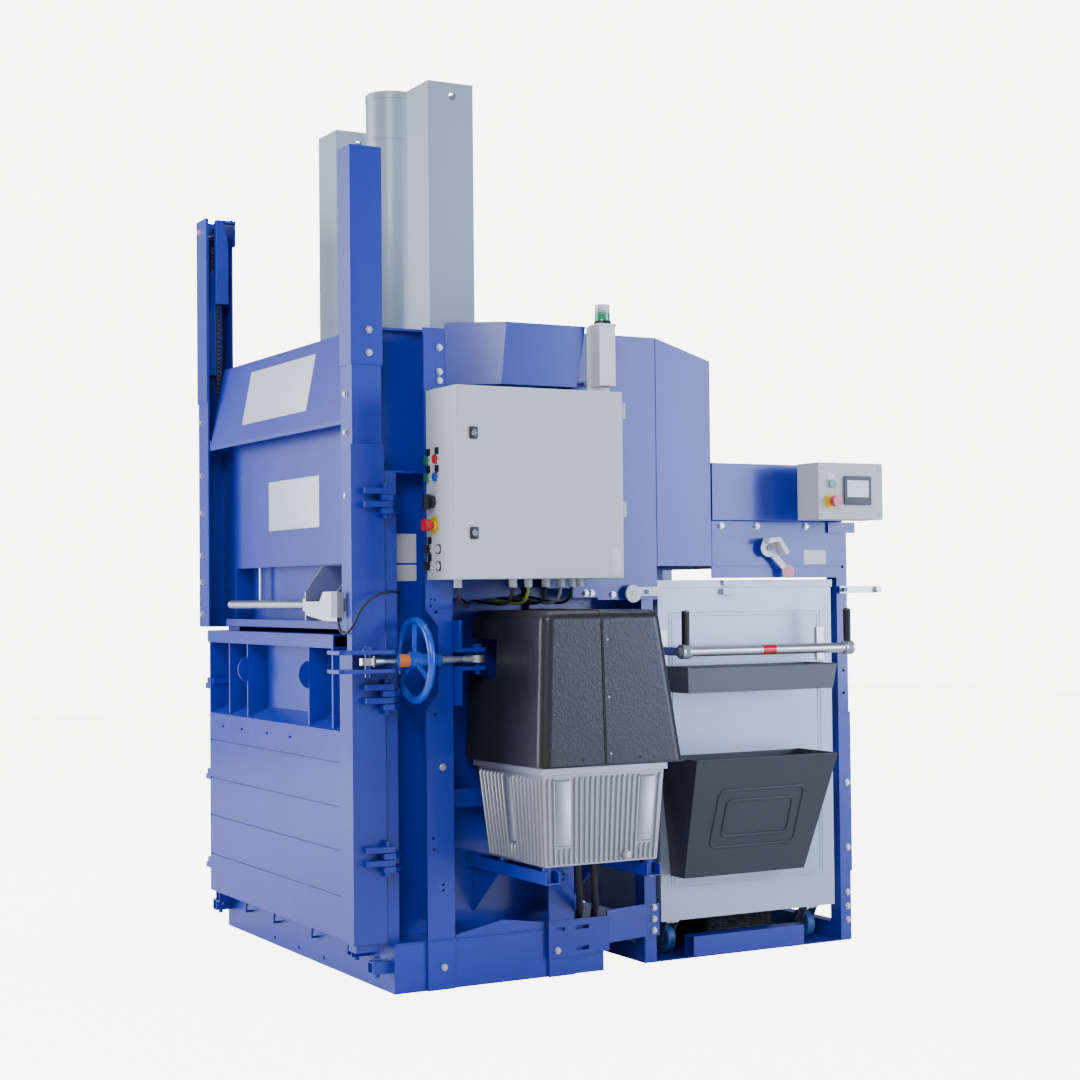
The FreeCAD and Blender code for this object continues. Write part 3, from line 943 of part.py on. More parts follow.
PARTS = {
    "press_base": press_base, "uprights": uprights, "chamber_shell": chamber_shell,
    "header_hood": header_hood, "guide_near": guide_near, "guide_far": guide_far,
    "frame_bolts": frame_bolts, "ram_cylinder": ram_cylinder,
    "ram_platen": ram_platen, "ram_guides": ram_guides, "bale_door": bale_door,
    "lock_post": lock_post, "turnbuckle_end": turnbuckle_end, "turnbuckle_rod": turnbuckle_rod,
    "handwheel": handwheel, "lift_door": lift_door, "lift_handle": lift_handle,
    "lift_chain": lift_chain, "chain_sprocket": chain_sprocket, "counterweight": counterweight,
    "cabinet": cabinet, "cabinet_door": cabinet_door, "main_switch": main_switch,
    "beacon": beacon, "cables": cables, "tank_rails": tank_rails, "oil_tank": oil_tank,
    "tank_cover": tank_cover, "hoses": hoses, "top_hood": top_hood, "loader_cover": loader_cover,
    "side_hood": side_hood, "control_box": control_box, "stop_lever": stop_lever,
    "dock_frame": dock_frame, "bellows": bellows, "cart_body": cart_body, "push_bar": push_bar,
    "cart_tray": cart_tray, "cart_bin": cart_bin, "door_switch": door_switch,
    "cabinet_lock_1": lambda: cabinet_lock(LOCKS[0]), "cabinet_lock_2": lambda: cabinet_lock(LOCKS[1]),
    "estop_left": lambda: estop(CAB_X0, ESTOP_Y, ESTOP_Z, (-1, 0, 0)),
    "estop_right": lambda: estop(1562, BOX_Y0, 1552, (0, -1, 0)),
    "control_button": lambda: push_button(1562, BOX_Y0, 1612, (0, -1, 0)),
    "arm_right": arm_right, "arm_left": arm_left,
}
for name, y, z in PUSH:
    PARTS[name] = lambda y=y, z=z: push_button(CAB_X0, y, z, (-1, 0, 0))
for name, y, z in SELECTORS:
    PARTS[name] = lambda y=y, z=z: selector(y, z)
for side, x in zip("lr", CASTOR_XS):
    PARTS["castor_fork_" + side] = lambda x=x: castor_fork(x, CASTOR_YS[0])
    PARTS["front_wheel_" + side] = lambda x=x: castor_wheel(x, CASTOR_YS[0] + CASTOR_TRAIL)
    PARTS["rear_wheel_" + side] = lambda x=x: castor_wheel(x, CASTOR_YS[1])


def write_parts():
    """Writes every part as one STEP file, moved to the frame whose origin is under the ram."""
    os.makedirs("parts", exist_ok=True)
    for name, make in PARTS.items():
        shape = make()
        shape.translate(V(-AXIS_X, -AXIS_Y, 0))
        shape.exportStep("parts/%s.step" % name)
        b = shape.BoundBox
        print("%-16s solids %2d  valid %s  x %6.0f %6.0f  y %6.0f %6.0f  z %6.0f %6.0f" % (
            name, len(shape.Solids), shape.isValid(), b.XMin, b.XMax, b.YMin, b.YMax, b.ZMin, b.ZMax))
    print(len(PARTS), "parts")


write_parts()
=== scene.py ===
# %% [markdown]
# # A vertical recycling baler with its cart loader
#
# The machine is a tall welded press. A thick bale door hangs on the left side, a screw lock
# keeps it shut, a sheet-steel feed door slides up above it, and a cart loader stands on the
# right. The construction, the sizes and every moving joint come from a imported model, which is
# loaded here as a fixed frame. Blender adds what a construction model leaves out: finishes,
# moulded details, the chain, the cables and the light.
#
# Everything is in metres. The origin lies on the floor under the ram, +X runs from the bale
# door to the loader, +Y from the cabinet side to the far side, and +Z is up.

# %% Load the frame
import bpy
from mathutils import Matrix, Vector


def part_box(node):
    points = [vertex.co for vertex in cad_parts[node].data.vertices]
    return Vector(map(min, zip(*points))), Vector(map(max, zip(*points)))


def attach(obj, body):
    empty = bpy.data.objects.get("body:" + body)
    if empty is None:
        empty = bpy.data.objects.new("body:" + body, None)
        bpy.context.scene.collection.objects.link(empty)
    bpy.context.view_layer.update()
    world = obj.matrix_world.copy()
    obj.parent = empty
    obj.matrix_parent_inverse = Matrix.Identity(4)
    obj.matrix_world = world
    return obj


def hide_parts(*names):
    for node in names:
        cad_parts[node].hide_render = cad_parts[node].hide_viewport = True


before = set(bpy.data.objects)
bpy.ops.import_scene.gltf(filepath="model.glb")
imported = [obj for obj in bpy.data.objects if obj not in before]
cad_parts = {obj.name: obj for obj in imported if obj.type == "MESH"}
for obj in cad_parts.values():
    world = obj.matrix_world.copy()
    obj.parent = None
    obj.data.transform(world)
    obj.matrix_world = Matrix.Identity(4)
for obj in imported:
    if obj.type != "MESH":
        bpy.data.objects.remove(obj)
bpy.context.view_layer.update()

import bpy, math
import numpy as np

# %% [markdown]
# The construction drawing is measured in millimetres from the near left corner of the press
# base. A small helper turns such a corner measure into the frame used here, so each detail
# below can be placed with the numbers that a fitter would read off the drawing.

# %% From the drawing's corner to the frame
CORNER = np.array([-357.0, -757.0, 0.0])


def at(*points):
    """Row-frame metres = (drawing millimetres + corner offset) / 1000, for one point or many."""
    p = np.array(points if len(points) > 1 or np.ndim(points[0]) else [points], float)
    return (p.reshape(-1, 3) + CORNER) / 1000.0


# %% [markdown]
# ## Surfaces as functions
#
# Each new piece is a grid of points: a profile carried along a path, or turned round an axis.
# Working out the whole grid as one array is quick, and the formula stays readable. The helper
# below only has to join neighbouring points into faces.

# %% A grid of points becomes a mesh
def new_piece(name, points, faces, smooth=40.0):
    """A mesh object from vertices and faces, shaded smooth except where faces meet sharply."""
    mesh = bpy.data.meshes.new(name)
    mesh.from_pydata(np.asarray(points).tolist(), [], np.asarray(faces, dtype=object).tolist())
    mesh.validate()
    mesh.update()
    obj = bpy.data.objects.new(name, mesh)
    bpy.context.scene.collection.objects.link(obj)
    mesh.shade_smooth()
    mesh.set_sharp_from_angle(angle=math.radians(smooth))
    return obj


def grid_faces(nu, nv, wrap_u=False, wrap_v=False):
    """Quad (i, j), (i+1, j), (i+1, j+1), (i, j+1) for every cell of a nu by nv grid."""
    i, j = np.meshgrid(np.arange(nu if wrap_u else nu - 1), np.arange(nv if wrap_v else nv - 1),
                       indexing="ij")
    i2, j2 = (i + 1) % nu, (j + 1) % nv
    quads = np.stack([i * nv + j, i2 * nv + j, i2 * nv + j2, i * nv + j2], -1)
    return quads.reshape(-1, 4).tolist()


def frame_of(axis):
    """Two unit vectors square to an axis: side = axis x (most different row axis), up = axis x side."""
    a = np.asarray(axis, float) / np.linalg.norm(axis)
    other = np.eye(3)[int(np.argmin(np.abs(a)))]
    side = np.cross(a, other)
    side /= np.linalg.norm(side)
    return a, side, np.cross(a, side)


def turned(name, profile, centre, axis, n=40):
    """Surface of revolution: centre + h*axis + r*(cos t * side + sin t * up) for (r, h) in mm."""
    a, side, up = frame_of(axis)
    prof = np.array(profile, float) / 1000.0
    t = np.linspace(0, 2 * np.pi, n, endpoint=False)
    ring = np.cos(t)[:, None] * side + np.sin(t)[:, None] * up
    pts = at(centre)[0] + prof[:, 1][:, None, None] * a + prof[:, 0][:, None, None] * ring
    m = len(prof)
    faces = grid_faces(m, n, wrap_v=True)
    pts = pts.reshape(-1, 3)
    faces = [f[::-1] for f in faces]
    faces.append(list(range(n))[::1])
    faces.append(list(range((m - 1) * n, m * n))[::-1])
    obj = new_piece(name, pts, faces)
    return outward(obj)


def outward(obj):
    """Merges doubled points and turns every face outwards."""
    import bmesh
    bm = bmesh.new()
    bm.from_mesh(obj.data)
    bmesh.ops.remove_doubles(bm, verts=bm.verts, dist=1e-6)
    bmesh.ops.recalc_face_normals(bm, faces=bm.faces)
    bm.to_mesh(obj.data)
    bm.free()
    return obj


def rounded(w, h, r, n=6):
    """Outline of a rounded rectangle: four quarter circles of radius r about the inset corners."""
    t = np.linspace(0, np.pi / 2, n)
    parts = []
    for k, (sx, sy) in enumerate(((1, 1), (-1, 1), (-1, -1), (1, -1))):
        a = t + k * np.pi / 2
        parts.append(np.stack([sx * (w / 2 - r) + r * np.cos(a), sy * (h / 2 - r) + r * np.sin(a)], -1))
    return np.concatenate(parts)


def pressed(name, centre, axis, up, size, depth, r, edge=1.5, dish=0.0):
    """A plate with a rounded outline and a rolled edge: inset e*(1 - cos a), height d - e*(1 - sin a)."""
    a = np.asarray(axis, float) / np.linalg.norm(axis)
    v = np.asarray(up, float)
    v = v - a * (v @ a)
    v /= np.linalg.norm(v)
    u = np.cross(v, a)
    w, h = size
    steps = [(0.0, 0.0)] + [(edge * (1 - math.cos(q)), depth - edge * (1 - math.sin(q)))
                            for q in np.linspace(0, math.pi / 2, 5)]
    if dish:
        steps += [(edge + 2.5, depth), (edge + 4.5, depth - dish)]
    rings = []
    for inset, z in steps:
        o = rounded(w - 2 * inset, h - 2 * inset, max(r - inset, 0.3))
        rings.append(o[:, :1] * u + o[:, 1:] * v + z * a)
    n = len(rings[0])
    pts = at(centre)[0] + np.concatenate(rings) / 1000.0
    faces = grid_faces(len(rings), n, wrap_v=True)
    faces.append(list(range(n)))
    faces.append(list(range((len(rings) - 1) * n, len(rings) * n))[::-1])
    return outward(new_piece(name, pts, faces, 35))


def carried(name, path, section, closed=False, up=(0, 0, 1)):
    """A section (mm, two columns) carried along a path: p_i + x*side_i + y*up_i, mitred at each point."""
    p = np.asarray(path, float)
    if closed:
        d = np.roll(p, -1, 0) - np.roll(p, 1, 0)
    else:
        d = np.gradient(p, axis=0)
    d /= np.linalg.norm(d, axis=1)[:, None]
    side = np.cross(d, np.asarray(up, float))
    side /= np.linalg.norm(side, axis=1)[:, None]
    top = np.cross(side, d)
    s = np.asarray(section, float)
    pts = p[:, None] + s[None, :, :1] * side[:, None] + s[None, :, 1:] * top[:, None]
    faces = grid_faces(len(p), len(s), wrap_u=closed, wrap_v=True)
    if not closed:
        faces += [list(range(len(s))), list(range((len(p) - 1) * len(s), len(p) * len(s)))[::-1]]
    return outward(new_piece(name, at(*pts.reshape(-1, 3)), faces))


def circle(r, n=12):
    """n points (r cos t, r sin t) round a circle."""
    t = np.linspace(0, 2 * np.pi, n, endpoint=False)
    return np.stack([r * np.cos(t), r * np.sin(t)], -1)


def joined(name, pieces):
    """One object from several: every mesh is added to one mesh, and the empty objects are dropped."""
    import bmesh
    bm = bmesh.new()
    for piece in pieces:
        bm.from_mesh(piece.data)
        bpy.data.objects.remove(piece, do_unlink=True)
    mesh = bpy.data.meshes.new(name)
    bm.to_mesh(mesh)
    bm.free()
    obj = bpy.data.objects.new(name, mesh)
    bpy.context.scene.collection.objects.link(obj)
    mesh.shade_smooth()
    mesh.set_sharp_from_angle(angle=math.radians(38))
    return obj


def finish_piece(obj, material, body):
    """Gives a new piece its material and lets it ride on its body."""
    obj.data.materials.clear()
    obj.data.materials.append(material)
    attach(obj, body)
    return obj


print("helpers ready")

# %% [markdown]
# ## Effects shared by the finishes
#
# A powder-coated or cast surface is never one flat colour. Three effects do most of the work:
# a soft variation of tone over half a metre, a fine grain that breaks up the highlight, and
# worn edges where steel has been knocked. Each is a node group with named sockets, so every
# finish can use it with its own strength.

# %% Node-group helper
def group(name, inputs, outputs):
    """An empty shader group with the named sockets and its input and output nodes."""
    g = bpy.data.node_groups.new(name, "ShaderNodeTree")
    for label, kind, value in inputs:
        s = g.interface.new_socket(label, in_out="INPUT", socket_type="NodeSocket" + kind)
        if value is not None:
            s.default_value = value
    for label, kind in outputs:
        g.interface.new_socket(label, in_out="OUTPUT", socket_type="NodeSocket" + kind)
    return g, g.nodes.new("NodeGroupInput"), g.nodes.new("NodeGroupOutput")


def node(tree, kind, **values):
    """A shader node: settings by attribute name, sockets by their label with underscores for spaces."""
    n = tree.nodes.new("ShaderNode" + kind)
    for key, value in values.items():
        if hasattr(n, key):
            setattr(n, key, value)
        else:
            n.inputs[key.replace("_", " ")].default_value = value
    return n


def link(tree, a, out, b, into):
    """Joins output `out` of node a to input `into` of node b."""
    tree.links.new(a.outputs[out], b.inputs[into])


# %% Tone: broad, soft variation and faint dust on surfaces that face up
tone, tin, tout = group("tone", [("Color", "Color", None), ("Shade", "Color", None), ("Amount", "Float", 0.3),
                                 ("Dust", "Float", 0.1), ("Roughness", "Float", 0.4)],
                        [("Color", "Color"), ("Roughness", "Float")])
coord = node(tone, "TexCoord")
broad = node(tone, "TexNoise", Scale=2.3, Detail=4.0, Roughness=0.55)
fine = node(tone, "TexNoise", Scale=38.0, Detail=3.0, Roughness=0.6)
link(tone, coord, "Object", broad, "Vector")
link(tone, coord, "Object", fine, "Vector")
spread = node(tone, "MapRange", **{"From_Min": 0.35, "From_Max": 0.68})
link(tone, broad, "Fac", spread, "Value")
by = node(tone, "Math", operation="MULTIPLY")
link(tone, spread, "Result", by, 0)
tone.links.new(tin.outputs["Amount"], by.inputs[1])
mixed = node(tone, "Mix", data_type="RGBA")
link(tone, by, 0, mixed, "Factor")
tone.links.new(tin.outputs["Color"], mixed.inputs["A"])
tone.links.new(tin.outputs["Shade"], mixed.inputs["B"])
geo = node(tone, "NewGeometry")
split = node(tone, "SeparateXYZ")
link(tone, geo, "Normal", split, 0)
upward = node(tone, "MapRange", **{"From_Min": 0.55, "From_Max": 0.95})
link(tone, split, "Z", upward, "Value")
patch = node(tone, "MapRange", **{"From_Min": 0.40, "From_Max": 0.70})
link(tone, fine, "Fac", patch, "Value")
settle = node(tone, "Math", operation="MULTIPLY")
link(tone, upward, "Result", settle, 0)
link(tone, patch, "Result", settle, 1)
dusty = node(tone, "Math", operation="MULTIPLY")
link(tone, settle, 0, dusty, 0)
tone.links.new(tin.outputs["Dust"], dusty.inputs[1])
dust = node(tone, "Mix", data_type="RGBA")
dust.inputs["B"].default_value = (0.52, 0.50, 0.47, 1)
link(tone, dusty, 0, dust, "Factor")
tone.links.new(mixed.outputs["Result"], dust.inputs["A"])
tone.links.new(dust.outputs["Result"], tout.inputs["Color"])
rough = node(tone, "MapRange", **{"To_Min": -0.07, "To_Max": 0.07})
link(tone, fine, "Fac", rough, "Value")
add = node(tone, "Math", operation="ADD", use_clamp=True)
link(tone, rough, "Result", add, 0)
tone.links.new(tin.outputs["Roughness"], add.inputs[1])
more = node(tone, "Math", operation="MULTIPLY_ADD", use_clamp=True)
link(tone, dusty, 0, more, 0)
more.inputs[1].default_value = 0.5
link(tone, add, 0, more, 2)
tone.links.new(more.outputs[0], tout.inputs["Roughness"])

# %% Edges: a mask where a rounded normal leaves the flat one, broken up by noise
edges, ein, eout = group("edges", [("Width", "Float", 0.0015), ("Amount", "Float", 0.5), ("Scale", "Float", 45.0)],
                         [("Mask", "Float"), ("Normal", "Vector")])
round_off = node(edges, "Bevel", samples=4)
edges.links.new(ein.outputs["Width"], round_off.inputs["Radius"])
flat = node(edges, "NewGeometry")
dot = node(edges, "VectorMath", operation="DOT_PRODUCT")
link(edges, round_off, "Normal", dot, 0)
link(edges, flat, "Normal", dot, 1)
lean = node(edges, "MapRange", **{"From_Min": 0.995, "From_Max": 0.86})
edges.links.new(dot.outputs["Value"], lean.inputs["Value"])
coord = node(edges, "TexCoord")
chips = node(edges, "TexNoise", Detail=5.0, Roughness=0.65)
link(edges, coord, "Object", chips, "Vector")
edges.links.new(ein.outputs["Scale"], chips.inputs["Scale"])
chipped = node(edges, "MapRange", **{"From_Min": 0.50, "From_Max": 0.62})
link(edges, chips, "Fac", chipped, "Value")
both = node(edges, "Math", operation="MULTIPLY")
link(edges, lean, "Result", both, 0)
link(edges, chipped, "Result", both, 1)
amount = node(edges, "Math", operation="MULTIPLY", use_clamp=True)
link(edges, both, 0, amount, 0)
edges.links.new(ein.outputs["Amount"], amount.inputs[1])
edges.links.new(amount.outputs[0], eout.inputs["Mask"])
edges.links.new(round_off.outputs["Normal"], eout.inputs["Normal"])

# %% Grain: the orange peel of powder coat, the pebbling of vacuum-formed sheet, the skin of a casting
grain, gin, gout = group("grain", [("Scale", "Float", 300.0), ("Depth", "Float", 0.3), ("Distance", "Float", 0.0004),
                                   ("Normal", "Vector", None)], [("Normal", "Vector"), ("Height", "Float")])
coord = node(grain, "TexCoord")
peel = node(grain, "TexNoise", Detail=2.0, Roughness=0.5)
link(grain, coord, "Object", peel, "Vector")
grain.links.new(gin.outputs["Scale"], peel.inputs["Scale"])
bump = node(grain, "Bump")
link(grain, peel, "Fac", bump, "Height")
grain.links.new(gin.outputs["Depth"], bump.inputs["Strength"])
grain.links.new(gin.outputs["Distance"], bump.inputs["Distance"])
grain.links.new(gin.outputs["Normal"], bump.inputs["Normal"])
grain.links.new(bump.outputs["Normal"], gout.inputs["Normal"])
grain.links.new(peel.outputs["Fac"], gout.inputs["Height"])
print("groups", [g.name for g in bpy.data.node_groups])


# %% [markdown]
# ## Finishes
#
# One function mixes the three effects into a Principled shader. The values that are the same
# all over a surface, such as the coat, are set on the shader's own sockets.

# %% A coated or moulded finish
def finish(name, colour, shade=None, rough=0.4, metal=0.0, coat=0.0, grain_scale=300.0, grain_depth=0.25,
           vary=0.35, dust=0.15, wear=0.0, wear_colour=(0.32, 0.32, 0.33), width=0.0015, spec=0.5, distance=0.0004):
    """A Principled material: tone -> edge wear -> base colour; bevelled normal -> grain -> normal."""
    m = bpy.data.materials.new(name)
    m.use_nodes = True
    t = m.node_tree
    bsdf = t.nodes["Principled BSDF"]
    shade = shade or tuple(c * 0.78 for c in colour)
    g1 = node(t, "Group", node_tree=tone)
    g1.inputs["Color"].default_value = (*colour, 1)
    g1.inputs["Shade"].default_value = (*shade, 1)
    g1.inputs["Amount"].default_value = vary
    g1.inputs["Dust"].default_value = dust
    g1.inputs["Roughness"].default_value = rough
    g2 = node(t, "Group", node_tree=edges)
    g2.inputs["Width"].default_value = width
    g2.inputs["Amount"].default_value = wear
    g3 = node(t, "Group", node_tree=grain)
    g3.inputs["Scale"].default_value = grain_scale
    g3.inputs["Depth"].default_value = grain_depth
    g3.inputs["Distance"].default_value = distance
    mix = node(t, "Mix", data_type="RGBA")
    mix.inputs["B"].default_value = (*wear_colour, 1)
    link(t, g2, "Mask", mix, "Factor")
    t.links.new(g1.outputs["Color"], mix.inputs["A"])
    t.links.new(mix.outputs["Result"], bsdf.inputs["Base Color"])
    link(t, g1, "Roughness", bsdf, "Roughness")
    link(t, g2, "Normal", g3, "Normal")
    link(t, g3, "Normal", bsdf, "Normal")
    bsdf.inputs["Metallic"].default_value = metal
    bsdf.inputs["Coat Weight"].default_value = coat
    bsdf.inputs["Coat Roughness"].default_value = 0.12
    bsdf.inputs["Specular IOR Level"].default_value = spec
    return m


blue = finish("blue_powder_coat", (0.005, 0.021, 0.36), (0.004, 0.014, 0.26), rough=0.34, coat=0.35, grain_scale=420,
              grain_depth=0.22, wear=0.45, wear_colour=(0.07, 0.09, 0.24), dust=0.04, vary=0.45, spec=0.6)
bright_blue = finish("bright_blue_enamel", (0.010, 0.075, 0.62), (0.006, 0.05, 0.45), rough=0.26, coat=0.6,
                     grain_depth=0.1, dust=0.05)
pale_grey = finish("pale_grey_textured_coat", (0.62, 0.65, 0.66), (0.56, 0.59, 0.61), rough=0.48, grain_scale=700,
                   grain_depth=0.35, dust=0.05, wear=0.15)
cart_paint = finish("cart_silver_paint", (0.47, 0.52, 0.60), (0.41, 0.46, 0.54), rough=0.33, metal=0.3, coat=0.2,
                    grain_scale=900, grain_depth=0.12, wear=0.25, wear_colour=(0.55, 0.56, 0.58))
ram_paint = finish("ram_silver_paint", (0.34, 0.40, 0.45), (0.27, 0.33, 0.39), rough=0.42, metal=0.15, coat=0.2,
                   wear=0.3, wear_colour=(0.16, 0.18, 0.20))
zinc = finish("zinc_plate", (0.60, 0.61, 0.62), (0.46, 0.47, 0.50), rough=0.34, metal=0.9, grain_scale=260,
              grain_depth=0.15, dust=0.06, wear=0.2, wear_colour=(0.75, 0.76, 0.77), width=0.0008)
chain_steel = finish("oiled_chain_steel", (0.085, 0.085, 0.09), (0.05, 0.045, 0.04), rough=0.36, metal=0.85,
                     wear=0.5, wear_colour=(0.35, 0.34, 0.33), width=0.0006)
alloy = finish("cast_alloy", (0.44, 0.45, 0.48), (0.33, 0.34, 0.37), rough=0.42, metal=0.75, grain_scale=240,
               grain_depth=0.55, wear=0.3, wear_colour=(0.70, 0.70, 0.71), dust=0.12)
pebbled = finish("pebbled_black_sheet", (0.018, 0.018, 0.020), (0.012, 0.012, 0.013), rough=0.36, grain_scale=125,
                 grain_depth=0.5, dust=0.04, distance=0.0012, wear=0.2, wear_colour=(0.07, 0.07, 0.075))
rubber = finish("black_rubber", (0.012, 0.012, 0.013), (0.020, 0.020, 0.021), rough=0.58, grain_scale=600,
                grain_depth=0.35, dust=0.18)
black_plastic = finish("black_moulding", (0.014, 0.014, 0.016), rough=0.36, grain_scale=900, grain_depth=0.3, dust=0.06,
                       width=0.0008)
grey_plastic = finish("grey_moulding", (0.30, 0.32, 0.34), (0.26, 0.28, 0.30), rough=0.45, grain_scale=800,
                      grain_depth=0.4, dust=0.08)
slate_plastic = finish("slate_moulding", (0.044, 0.048, 0.056), (0.036, 0.039, 0.046), rough=0.42, grain_scale=700,
                       grain_depth=0.5, dust=0.10)
tray_plastic = finish("tray_moulding", (0.12, 0.125, 0.15), (0.10, 0.105, 0.125), rough=0.42, grain_scale=700,
                      grain_depth=0.4, dust=0.10)
earth_jacket = finish("yellow_green_jacket", (0.30, 0.42, 0.03), (0.22, 0.36, 0.03), rough=0.45, dust=0.05)
white_paint = finish("white_enamel", (0.74, 0.75, 0.75), (0.66, 0.67, 0.68), rough=0.34, coat=0.3,
                     grain_depth=0.1, dust=0.05)
red = finish("red_moulding", (0.62, 0.012, 0.010), (0.50, 0.010, 0.010), rough=0.24, coat=0.4, grain_depth=0.05,
             dust=0.02,
             width=0.0006)
green = finish("green_moulding", (0.010, 0.20, 0.085), (0.008, 0.15, 0.065), rough=0.26, coat=0.4, grain_depth=0.05,
               dust=0.02, width=0.0006)
sky = finish("blue_moulding", (0.012, 0.06, 0.40), rough=0.26, coat=0.4, grain_depth=0.05, dust=0.02, width=0.0006)
yellow = finish("yellow_moulding", (0.85, 0.58, 0.010), (0.75, 0.50, 0.01), rough=0.36, grain_depth=0.1, dust=0.03,
                width=0.0006)
orange = finish("orange_band", (0.80, 0.20, 0.02), (0.65, 0.16, 0.02), rough=0.40, dust=0.08)
tyre_blue = finish("blue_elastic_tread", (0.035, 0.12, 0.34), (0.030, 0.09, 0.27), rough=0.50, grain_scale=900,
                   grain_depth=0.3, dust=0.25)
print("materials", len(bpy.data.materials))

# %% [markdown]
# ## Finishes on the construction parts
#
# The construction parts keep their own shapes. Each only has its material slots filled, from
# one table of part names.

# %% Which part has which finish
FINISH_OF = {
    blue: ["press_base", "uprights", "chamber_shell", "header_hood", "guide_near", "guide_far", "bale_door",
           "lock_post", "lift_door", "counterweight", "top_hood", "loader_cover", "side_hood", "dock_frame",
           "tank_rails", "ram_platen"],
    bright_blue: ["handwheel"],
    ram_paint: ["ram_cylinder", "ram_guides"],
    pale_grey: ["cabinet", "cabinet_door", "control_box"],
    cart_paint: ["cart_body"],
    zinc: ["frame_bolts", "turnbuckle_end", "turnbuckle_rod", "castor_fork_l", "castor_fork_r", "arm_right",
           "push_bar", "cabinet_lock_1", "cabinet_lock_2", "lift_handle"],
    white_paint: ["arm_left", "stop_lever", "beacon"],
    grey_plastic: ["door_switch"],
    tray_plastic: ["cart_tray"],
    chain_steel: ["lift_chain", "chain_sprocket"],
    alloy: ["oil_tank"],
    pebbled: ["tank_cover"],
    slate_plastic: ["cart_bin"],
    black_plastic: ["main_switch", "selector_1", "selector_2"],
    rubber: ["hoses", "cables", "bellows"],
    red: ["push_red", "estop_left", "estop_right"],
    green: ["push_green_1", "push_green_2", "control_button"],
    sky: ["push_blue"],
    tyre_blue: ["front_wheel_l", "front_wheel_r", "rear_wheel_l", "rear_wheel_r"],
}
for material, names in FINISH_OF.items():
    for name in names:
        part = bpy.data.objects[name]
        part.data.materials.clear()
        part.data.materials.append(material)
covered = {n for names in FINISH_OF.values() for n in names}
print("parts without a finish:", sorted(set(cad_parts) - covered))

# %% [markdown]
# ## Castor wheels
#
# A bought castor wheel is a light hub with an elastic tread cast round it. Both are turned
# shapes, so the tread's rounded shoulders and the hub's dished web are one profile each, and
# the construction wheel, a plain disc, is replaced.

# %% Tread and hub
WHEEL_R = 50.0
shoulder = [(WHEEL_R - 4 + 4 * math.sin(q), 12 + 4 * math.cos(q)) for q in np.linspace(0, math.pi / 2, 5)]
tread_side = [(33.0, 12.0), (35.0, 15.6)] + shoulder
TREAD = tread_side + [(r, -h) for r, h in reversed(tread_side)]
HUB = [(5.0, 17.0), (9.0, 17.0), (11.5, 16.0), (12.5, 11.0), (15.0, 8.5), (27.0, 8.5), (30.0, 12.5), (33.6, 13.5)]
HUB = HUB + [(r, -h) for r, h in reversed(HUB)]
for side in "lr":
    for end in ("front", "rear"):
        node_name = f"{end}_wheel_{side}"
        lo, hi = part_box(node_name)
        mid = (np.array(lo) + np.array(hi)) / 2 * 1000 - CORNER
        r_k = (hi.z - lo.z) * 499.5 / WHEEL_R
        tread = turned(f"tread_{end}_{side}", [(r * r_k, h) for r, h in TREAD], mid, (1, 0, 0), 56)
        finish_piece(tread, tyre_blue, node_name)
        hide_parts(node_name)
        hub = turned(f"hub_{end}_{side}", [(r * r_k, h) for r, h in HUB], mid, (1, 0, 0), 40)
        finish_piece(hub, grey_plastic, node_name)
print("wheels fitted, radius", round(WHEEL_R * r_k, 1), "mm")

# %% [markdown]
# ## Bellows
#
# The lifting gear under the cart is covered by a square rubber bellows. A pleat is a zigzag in
# height: each ring of points is the same rounded square, drawn in or let out by a few
# millimetres, and a slow sine lets the folds sag unevenly as real ones do.

# %% Pleated cover: inset = depth * |zigzag(z)|, sag = small sine round the ring
lo, hi = (np.array(c) * 1000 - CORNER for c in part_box("bellows"))
PLEATS, FOLD = 11, 9.0
levels = np.linspace(0, 1, PLEATS * 4 + 1)
rings = []
for level in levels:
    phase = level * PLEATS % 1.0
    inset = FOLD * abs(2 * phase - 1)
    base = rounded(hi[0] - lo[0] - 2 * inset, hi[1] - lo[1] - 2 * inset, 16 - inset * 0.5, 7)
    angle = np.arctan2(base[:, 1], base[:, 0])
    sag = 1.4 * np.sin(angle * 3 + level * 23) * math.sin(math.pi * level)
    z = lo[2] + 1.5 + (hi[2] - lo[2] - 3) * level + sag
    rings.append(np.column_stack([base[:, 0] + (lo[0] + hi[0]) / 2, base[:, 1] + (lo[1] + hi[1]) / 2, z]))
count = len(rings[0])
faces = grid_faces(len(rings), count, wrap_v=True)
faces += [list(range(count)), list(range((len(rings) - 1) * count, len(rings) * count))[::-1]]
pleated = outward(new_piece("pleated_bellows", at(*np.concatenate(rings)), faces, 25))
finish_piece(pleated, rubber, "base")
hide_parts("bellows")
print("bellows", PLEATS, "pleats")

# %% [markdown]
# ## Roller chain
#
# The feed door hangs on a roller chain that turns over a sprocket to its counterweight. One
# link pair is modelled once, two figure-of-eight plates and a roller, and copied along the
# chain's line: up, half round the sprocket, and down.

# %% Chain line and links
PITCH, CHAIN_X, UP_Y, DOWN_Y, TOP_Z, DOOR_Z, WEIGHT_Z = 15.875, -62.0, 1418.0, 1482.0, 2600.0, 1850.0, 2482.0
radius = (DOWN_Y - UP_Y) / 2
rise, turn_len = TOP_Z - DOOR_Z, math.pi * radius
total = rise + turn_len + TOP_Z - WEIGHT_Z


def on_chain(s):
    """Position (y, z) and heading at distance s: straight up, then an arc, then straight down."""
    s = np.asarray(s, float)
    a = np.clip((s - rise) / radius, 0, math.pi)
    y = (UP_Y + DOWN_Y) / 2 - radius * np.cos(a)
    z = DOOR_Z + np.minimum(s, rise) + radius * np.sin(a) - np.maximum(s - rise - turn_len, 0)
    return y, z, a


